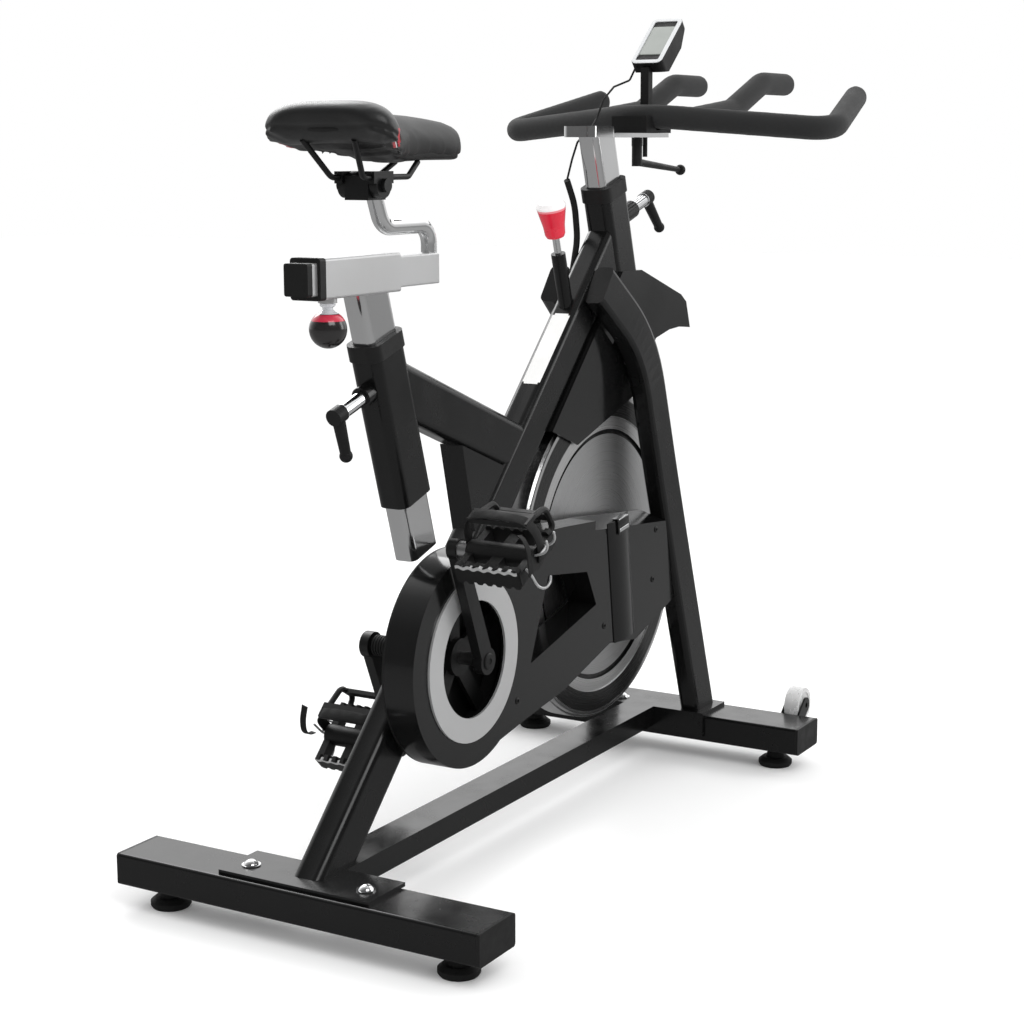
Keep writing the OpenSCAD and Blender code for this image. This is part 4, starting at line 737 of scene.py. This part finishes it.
def saddle_section(f, around, inset):
    """One ring of the pad as (y, z) pairs, set in from the form by inset."""
    _, share, top, base = soft_form(f)
    half = SADDLE_HALF * share - inset
    square = square_at(f)
    ring = []
    for k in range(around):
        a = 2 * math.pi * k / around
        c, q = math.cos(a), math.sin(a)
        y = half * math.copysign(abs(c) ** (0.66 - 0.12 * square), c)
        if q >= 0:
            z = base + (top - inset - base) * q ** (0.80 - 0.16 * square)
        else:
            z = base + hollow_at(f) * abs(q) ** 0.8 - 1.5 * (1 - square) * abs(q)
        ring.append((y, z))
    return ring


def puff(saddle):
    """Blows the pad up as cloth under pressure; no point moves further than cap, and none sinks low down."""
    cap, low = 0.0045, 0.925
    rest = [v.co.copy() for v in saddle.data.vertices]
    cloth = saddle.modifiers.new("puff", "CLOTH")
    cloth.settings.use_pressure = True
    cloth.settings.uniform_pressure_force = 4.0
    cloth.settings.effector_weights.gravity = 0.0
    cloth.settings.quality = 4
    for number in range(1, 15):
        bpy.context.scene.frame_set(number)
    shaped = saddle.evaluated_get(bpy.context.evaluated_depsgraph_get()).data
    moved = []
    for v, home in zip(shaped.vertices, rest):
        step = v.co - home
        if home.z < low and step.z < 0:
            step.z = 0
        moved.append(home + (step.normalized() * cap if step.length > cap else step))
    bpy.context.scene.frame_set(1)
    saddle.modifiers.remove(cloth)
    for v, place in zip(saddle.data.vertices, moved):
        v.co = place


def press_seam(saddle):
    """A narrow channel under the rear roll that runs down to both wing tips."""
    front, deep, wide = 0.40, 0.0019, 2.6
    normals = [v.normal.copy() for v in saddle.data.vertices]
    for v, normal in zip(saddle.data.vertices, normals):
        f = (v.co.x * 1000 + MID_X - SADDLE_X) / SADDLE_LONG
        if f < front and normal.z < 0.35:
            _, _, top, base = soft_form(held(f))
            height = base + (top - base) * (0.30 - 0.10 * min(1.0, max(0.0, f) / 0.3))
            away = (v.co.z * 1000 - height) / wide
            v.co -= normal * deep * math.exp(-away * away) * held((front - f) / 0.06)


def make_saddle():
    """Padded cover, blown up over its form, with a pressed seam."""
    bm = bmesh.new()
    rings = []
    count, around, inset = 54, 40, 2.0
    for i in range(count + 1):
        f = 0.012 + 0.976 * i / count
        rings.append([bm.verts.new(at(SADDLE_X + SADDLE_LONG * f, y, z))
                      for y, z in saddle_section(f, around, inset)])
    skin(bm, rings)
    saddle = new_object("saddle_pad", bm, "saddle")
    finish_with(saddle, "skin", "REMESH", mode="VOXEL", voxel_size=0.0042)
    finish_with(saddle, "even", "SMOOTH", iterations=4)
    apply_all(saddle)
    puff(saddle)
    finish_with(saddle, "even", "SMOOTH", factor=0.5, iterations=3)
    finish_with(saddle, "fine", "SUBSURF", levels=1, render_levels=1)
    apply_all(saddle)
    press_seam(saddle)
    smooth_shaded(saddle)
    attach(saddle, "saddle")
    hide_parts("saddle_cushion")


make_saddle()


def make_saddle_base():
    """Moulded plate that follows the pad's hollow underside and narrows with the nose."""
    bm = bmesh.new()
    rings = []
    for i in range(45):
        f = 0.040 + 0.89 * i / 44
        _, share, _, base = soft_form(f)
        grown = math.sin(math.pi / 2 * min(1.0, (f - 0.035) / 0.10)) ** 0.7
        half = 8 + (SADDLE_HALF * share * 0.74 - 8) * grown
        under = base + hollow_at(f)
        rib = 1.5 if i % 4 == 2 and 0.10 < f < 0.5 else 0.0
        ring = []
        for k in range(25):
            a = math.pi * k / 24
            y = -half * math.copysign(abs(math.cos(a)) ** 0.8, math.cos(a))
            z = under + 4 - (9.5 + rib) * grown * math.sin(a) ** 0.35
            ring.append(bm.verts.new(at(SADDLE_X + SADDLE_LONG * f, y, z)))
        rings.append(ring)
    skin(bm, rings)
    base = new_object("saddle_base", bm, "plastic", "saddle", angle=50)
    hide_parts("saddle_shell")


make_saddle_base()

# ---------- console details ----------

CON = Vector((902, 0, 1038))  # foot of the console's face
LEAN = math.radians(49)


def on_console(depth, y, up):
    """A place on the console: depth behind its face, y across and up along its face."""
    return (CON.x + depth * math.cos(LEAN) + up * math.sin(LEAN), y,
            CON.z - depth * math.sin(LEAN) + up * math.cos(LEAN))


def console_plate(name, depth, thick, low, high, half, r, material, ring=None):
    """A rounded plate parallel to the console's face; ring leaves an opening of that margin."""
    bm = bmesh.new()
    edge_r = 0.8

    def outline(margin):
        pts = []
        h, w, q = (high - low) / 2 - margin, half - margin, max(r - margin, 1.0)
        for c, (su, sy) in enumerate(((1, 1), (-1, 1), (-1, -1), (1, -1))):
            for k in range(9):
                a = math.radians(c * 90 + k * 90 / 8)
                pts.append(((low + high) / 2 + su * (h - q) + q * math.cos(a),
                            sy * (w - q) + q * math.sin(a)))
        return pts

    def loop(margin, d):
        return [bm.verts.new(at(*on_console(d, y, u))) for u, y in outline(margin)]

    front = loop(edge_r, depth - thick)
    edge = loop(0.0, depth - thick + edge_r)
    back = loop(0.0, depth)
    band(bm, front, edge)
    band(bm, edge, back)
    if ring:
        inner = loop(ring, depth - thick)
        inner_back = loop(ring, depth)
        band(bm, inner, front)
        band(bm, inner_back, inner)
        band(bm, back, inner_back)
    else:
        bm.faces.new(front)
        bm.faces.new(back[::-1])
    new_object(name, bm, material, "handlebar_unit", angle=35)


console_plate("console_bezel", 9.0, 10.4, 0.4, 100.6, 24.6, 9.0, "case", ring=6.0)
console_plate("console_window", 0.9, 1.0, 20.0, 84.0, 18.5, 3.0, "screen")

# ---------- crank and pedal trim ----------

CRANK = Vector((292, 0, 292))
ARM_LONG = 165
ARM_TURN = math.radians(112.5)
ARM_TIP = Vector((ARM_LONG * math.cos(ARM_TURN), 0, ARM_LONG * math.sin(ARM_TURN)))
ARM_FACE = {-1: 97, 1: 86}
PEDAL_TILT = {-1: 25, 1: 45}
PEDAL_BODY = {-1: "right_pedal", 1: "left_pedal"}
SIDE = {-1: "right", 1: "left"}


def turned_rings(bm, centre, axis, profile, sides):
    """Rings of vertices round an axis, from (radius, distance along the axis) pairs."""
    turn = Vector((0, 0, 1)).rotation_difference(Vector(axis)).to_matrix()
    angles = [2 * math.pi * k / sides for k in range(sides)]
    return [[bm.verts.new(at(*(Vector(centre) + turn @ Vector((q * math.cos(a), q * math.sin(a), h)))))
             for a in angles] for q, h in profile]


def turned_piece(name, centre, axis, profile, material, body):
    """Turned piece, closed at both ends."""
    bm = bmesh.new()
    skin(bm, turned_rings(bm, centre, axis, profile, 40))
    new_object(name, bm, material, body, angle=35)


for s in (-1, 1):
    turned_piece(f"crank_cap_{SIDE[s]}", (CRANK.x, s * ARM_FACE[s], CRANK.z), (0, s, 0),
                 [(10.5, -0.4), (10.5, 1.0), (9.2, 2.2), (4.2, 2.6), (3.6, 1.4), (0.8, 1.2)],
                 "plastic", "crank_unit")
sleeve = [(12.0, 1.0)]
for k in range(8):
    sleeve += [(13.6, 1.4 + 4 * k), (13.6, 4.0 + 4 * k), (12.4, 4.2 + 4 * k), (12.4, 5.2 + 4 * k)]
turned_piece("crank_sleeve", (CRANK.x, 38, CRANK.z), (0, 1, 0), sleeve[:-2], "rubber", "crank_unit")

def on_pedal(s, x, y, z):
    """A place on a pedal: forward along it, across from its middle outwards, and up off its tread."""
    t = math.radians(PEDAL_TILT[s])
    tip = CRANK - ARM_TIP * s
    return (tip.x + x * math.cos(t) - z * math.sin(t), s * (ARM_FACE[s] + 16 + 45 + y),
            tip.z + x * math.sin(t) + z * math.cos(t))


STRAP_SECTION = ((-1, -0.6), (-0.94, -1), (0.94, -1), (1, -0.6), (1, 0.6), (0.94, 1), (-0.94, 1), (-1, 0.6))


def ribbon(name, path, wide, thick, body, across):
    """Flat rubber strap along a smooth path, its width along across."""
    bm = bmesh.new()
    p = eased(path, 6)
    rings = []
    for i, c in enumerate(p):
        t = heading(p, i)
        w = Vector(across)
        w = (w - t * t.dot(w)).normalized()
        n = t.cross(w)
        rings.append([bm.verts.new(at(*(c + w * wide / 2 * u + n * thick / 2 * v)))
                      for u, v in STRAP_SECTION])
    skin(bm, rings)
    new_object(name, bm, "rubber", body, angle=40)


def pedal_edge(s):
    """Silver edge strip with the tread's teeth, along the top of the pedal's rear rail."""
    bm = bmesh.new()
    rings = []
    for k in range(46):
        y = -42 + 84 * k / 45
        rise = 9.8 + 1.3 * math.sin(k * 2 * math.pi / 7.5)
        section = ((-44.6, rise - 4.2), (-44.6, rise), (-40.0, rise), (-40.0, rise - 0.9),
                   (-43.7, rise - 0.9), (-43.7, rise - 4.2))
        rings.append([bm.verts.new(at(*Vector(on_pedal(s, x, y, z)))) for x, z in section])
    skin(bm, rings)
    new_object(f"pedal_edge_{SIDE[s]}", bm, "silver", PEDAL_BODY[s], angle=40)


def strap_buckle(s):
    """Three bent wires that hold the strap at the pedal's outer end."""
    bm = bmesh.new()
    reach = 15 if s < 0 else 3
    for x in (-3.5, 15.5):
        wire = ((44, 6), (50, 8), (50 + reach * 0.6, 12), (50 + reach, 20), (51 + reach, 30))
        tube(bm, eased([on_pedal(s, x, y, z) for y, z in wire], 5), 1.5, 14, 1.2)
    tube(bm, eased([on_pedal(s, x, 52, 8.2) for x in (-4, 2, 9, 16)], 4), 1.5, 14, 1.2)
    hook = ((-30, 2, 6), (-30, 8, -2), (-26, 11, -20), (-20, 16, -27), (-10, 18, -26), (-4, 17, -20))
    tube(bm, eased([on_pedal(s, x, 44 + y * reach / 16, z) for x, y, z in hook], 5), 1.6, 14, 1.2)
    new_object(f"strap_buckle_{SIDE[s]}", bm, "alu", PEDAL_BODY[s], angle=40)


def pedal_trim(s):
    """A pedal's edge strip, its strap round the cage's top and under it, the buckle and the loose end."""
    side, body, tilt = SIDE[s], PEDAL_BODY[s], math.radians(PEDAL_TILT[s])
    pedal_edge(s)
    strap = ((-46, -6), (-49, 8), (-47, 30), (-38, 46), (-20, 50.5), (0, 51.5), (20, 50.5), (38, 46),
             (48, 30), (49, 8), (46, -6))
    ribbon(f"toe_strap_{side}", [on_pedal(s, 6, y, z) for y, z in strap], 15, 1.4, body,
           (math.cos(tilt), 0, math.sin(tilt)))
    strap_buckle(s)
    if s > 0:
        end, across = [(-24, 34, 49), (-31, 36, 56), (-33, 34, 70), (-27, 29, 88), (-16, 22, 106)], (0, 1, 0)
    else:
        end, across = [(-20, 42, 46), (-24, 50, 42), (-27, 54, 30), (-30, 54, 14), (-31, 52, -2)], (1, 0, 0)
    ribbon(f"strap_end_{side}", [on_pedal(s, *q) for q in end], 9, 1.2, body, across)


for s in (-1, 1):
    pedal_trim(s)

# ---------- clip over the guard band's upper end ----------


def bar_piece(name, place, size, lean, r, material, body):
    """Small block with rounded edges, leaned about y."""
    bm = bmesh.new()
    bmesh.ops.create_cube(bm, size=1.0)
    turn = Matrix.Rotation(math.radians(lean), 3, "Y")
    for v in bm.verts:
        corner = Vector((v.co.x * size[0], v.co.y * size[1], v.co.z * size[2]))
        v.co = at(*(Vector(place) + turn @ corner))
    bmesh.ops.bevel(bm, geom=bm.edges[:], offset=r / 1000.0, segments=3, affect="EDGES", profile=0.5)
    new_object(name, bm, material, body, angle=35)


BAND_MID = Vector((689, -75, 322))
BAND_LEAN = 7.6


def on_band(u, out, up):
    """A place on the guard band: across it, out from the guard's face, and up along it from its middle."""
    t = math.radians(BAND_LEAN)
    return (BAND_MID.x + u * math.cos(t) - up * math.sin(t), BAND_MID.y - out,
            BAND_MID.z + u * math.sin(t) + up * math.cos(t))


bar_piece("band_clip_plate", on_band(0, 9.4, 78), (32, 2.0, 20), -BAND_LEAN, 0.6, "gloss", "frame")
bar_piece("band_clip_low", on_band(0, 10.6, 74), (27, 1.6, 5.0), -BAND_LEAN, 0.5, "chrome", "frame")
bar_piece("band_clip_top", on_band(0, 5.0, 89.4), (27, 11.0, 1.8), -BAND_LEAN, 0.5, "chrome", "frame")

# ---------- small trim ----------

LABEL_TOP, LABEL_LOW = 692.6, 604.6     # heights of the label's two ends
LABEL_RIGHT, LABEL_LEFT = -15.5, 11.5   # its edges across the tube
TUBE_EDGE = 42.43                       # x from the main tube's middle line, at 45 degrees, to its upper face


def blank_label():
    """Thin sticker with round corners on the rear face of the main tube, left without print."""
    bm = bmesh.new()
    corners = [(z - TUBE_EDGE, y, z) for y, z in
               ((LABEL_RIGHT, LABEL_LOW), (LABEL_LEFT, LABEL_LOW),
                (LABEL_LEFT, LABEL_TOP), (LABEL_RIGHT, LABEL_TOP))]
    lift = Vector((-0.25, 0, 0.25))
    low = [bm.verts.new(at(*c)) for c in corners]
    high = [bm.verts.new(at(*(Vector(c) + lift))) for c in corners]
    bm.faces.new(high)
    bm.faces.new(low[::-1])
    band(bm, low, high)
    upright = [e for e in bm.edges if (e.verts[0].co - e.verts[1].co).length < 0.001]
    bmesh.ops.bevel(bm, geom=upright, offset=0.003, segments=4, affect="EDGES")
    new_object("blank_label", bm, "white", "frame", smooth=False)


blank_label()


def screw(name, place, axis, r, body):
    """Domed screw head with a socket, standing a little proud of a face and open behind it."""
    bm = bmesh.new()
    profile = [(r * 0.45, -1.2), (r * 0.45, 1.2), (r * 0.7, 1.3), (r, 0.5), (r, -0.5)]
    rings = turned_rings(bm, place, axis, profile, 24)
    for a, b in zip(rings, rings[1:]):
        band(bm, a, b)
    bm.faces.new(rings[0])
    new_object(name, bm, "plastic", body, angle=35)


for i, (x, z) in enumerate(((800, 372), (790, 300), (400, 212), (640, 262), (430, 412))):
    screw(f"guard_screw_{i}", (x, -75.3, z), (0, -1, 0), 4.5, "frame")
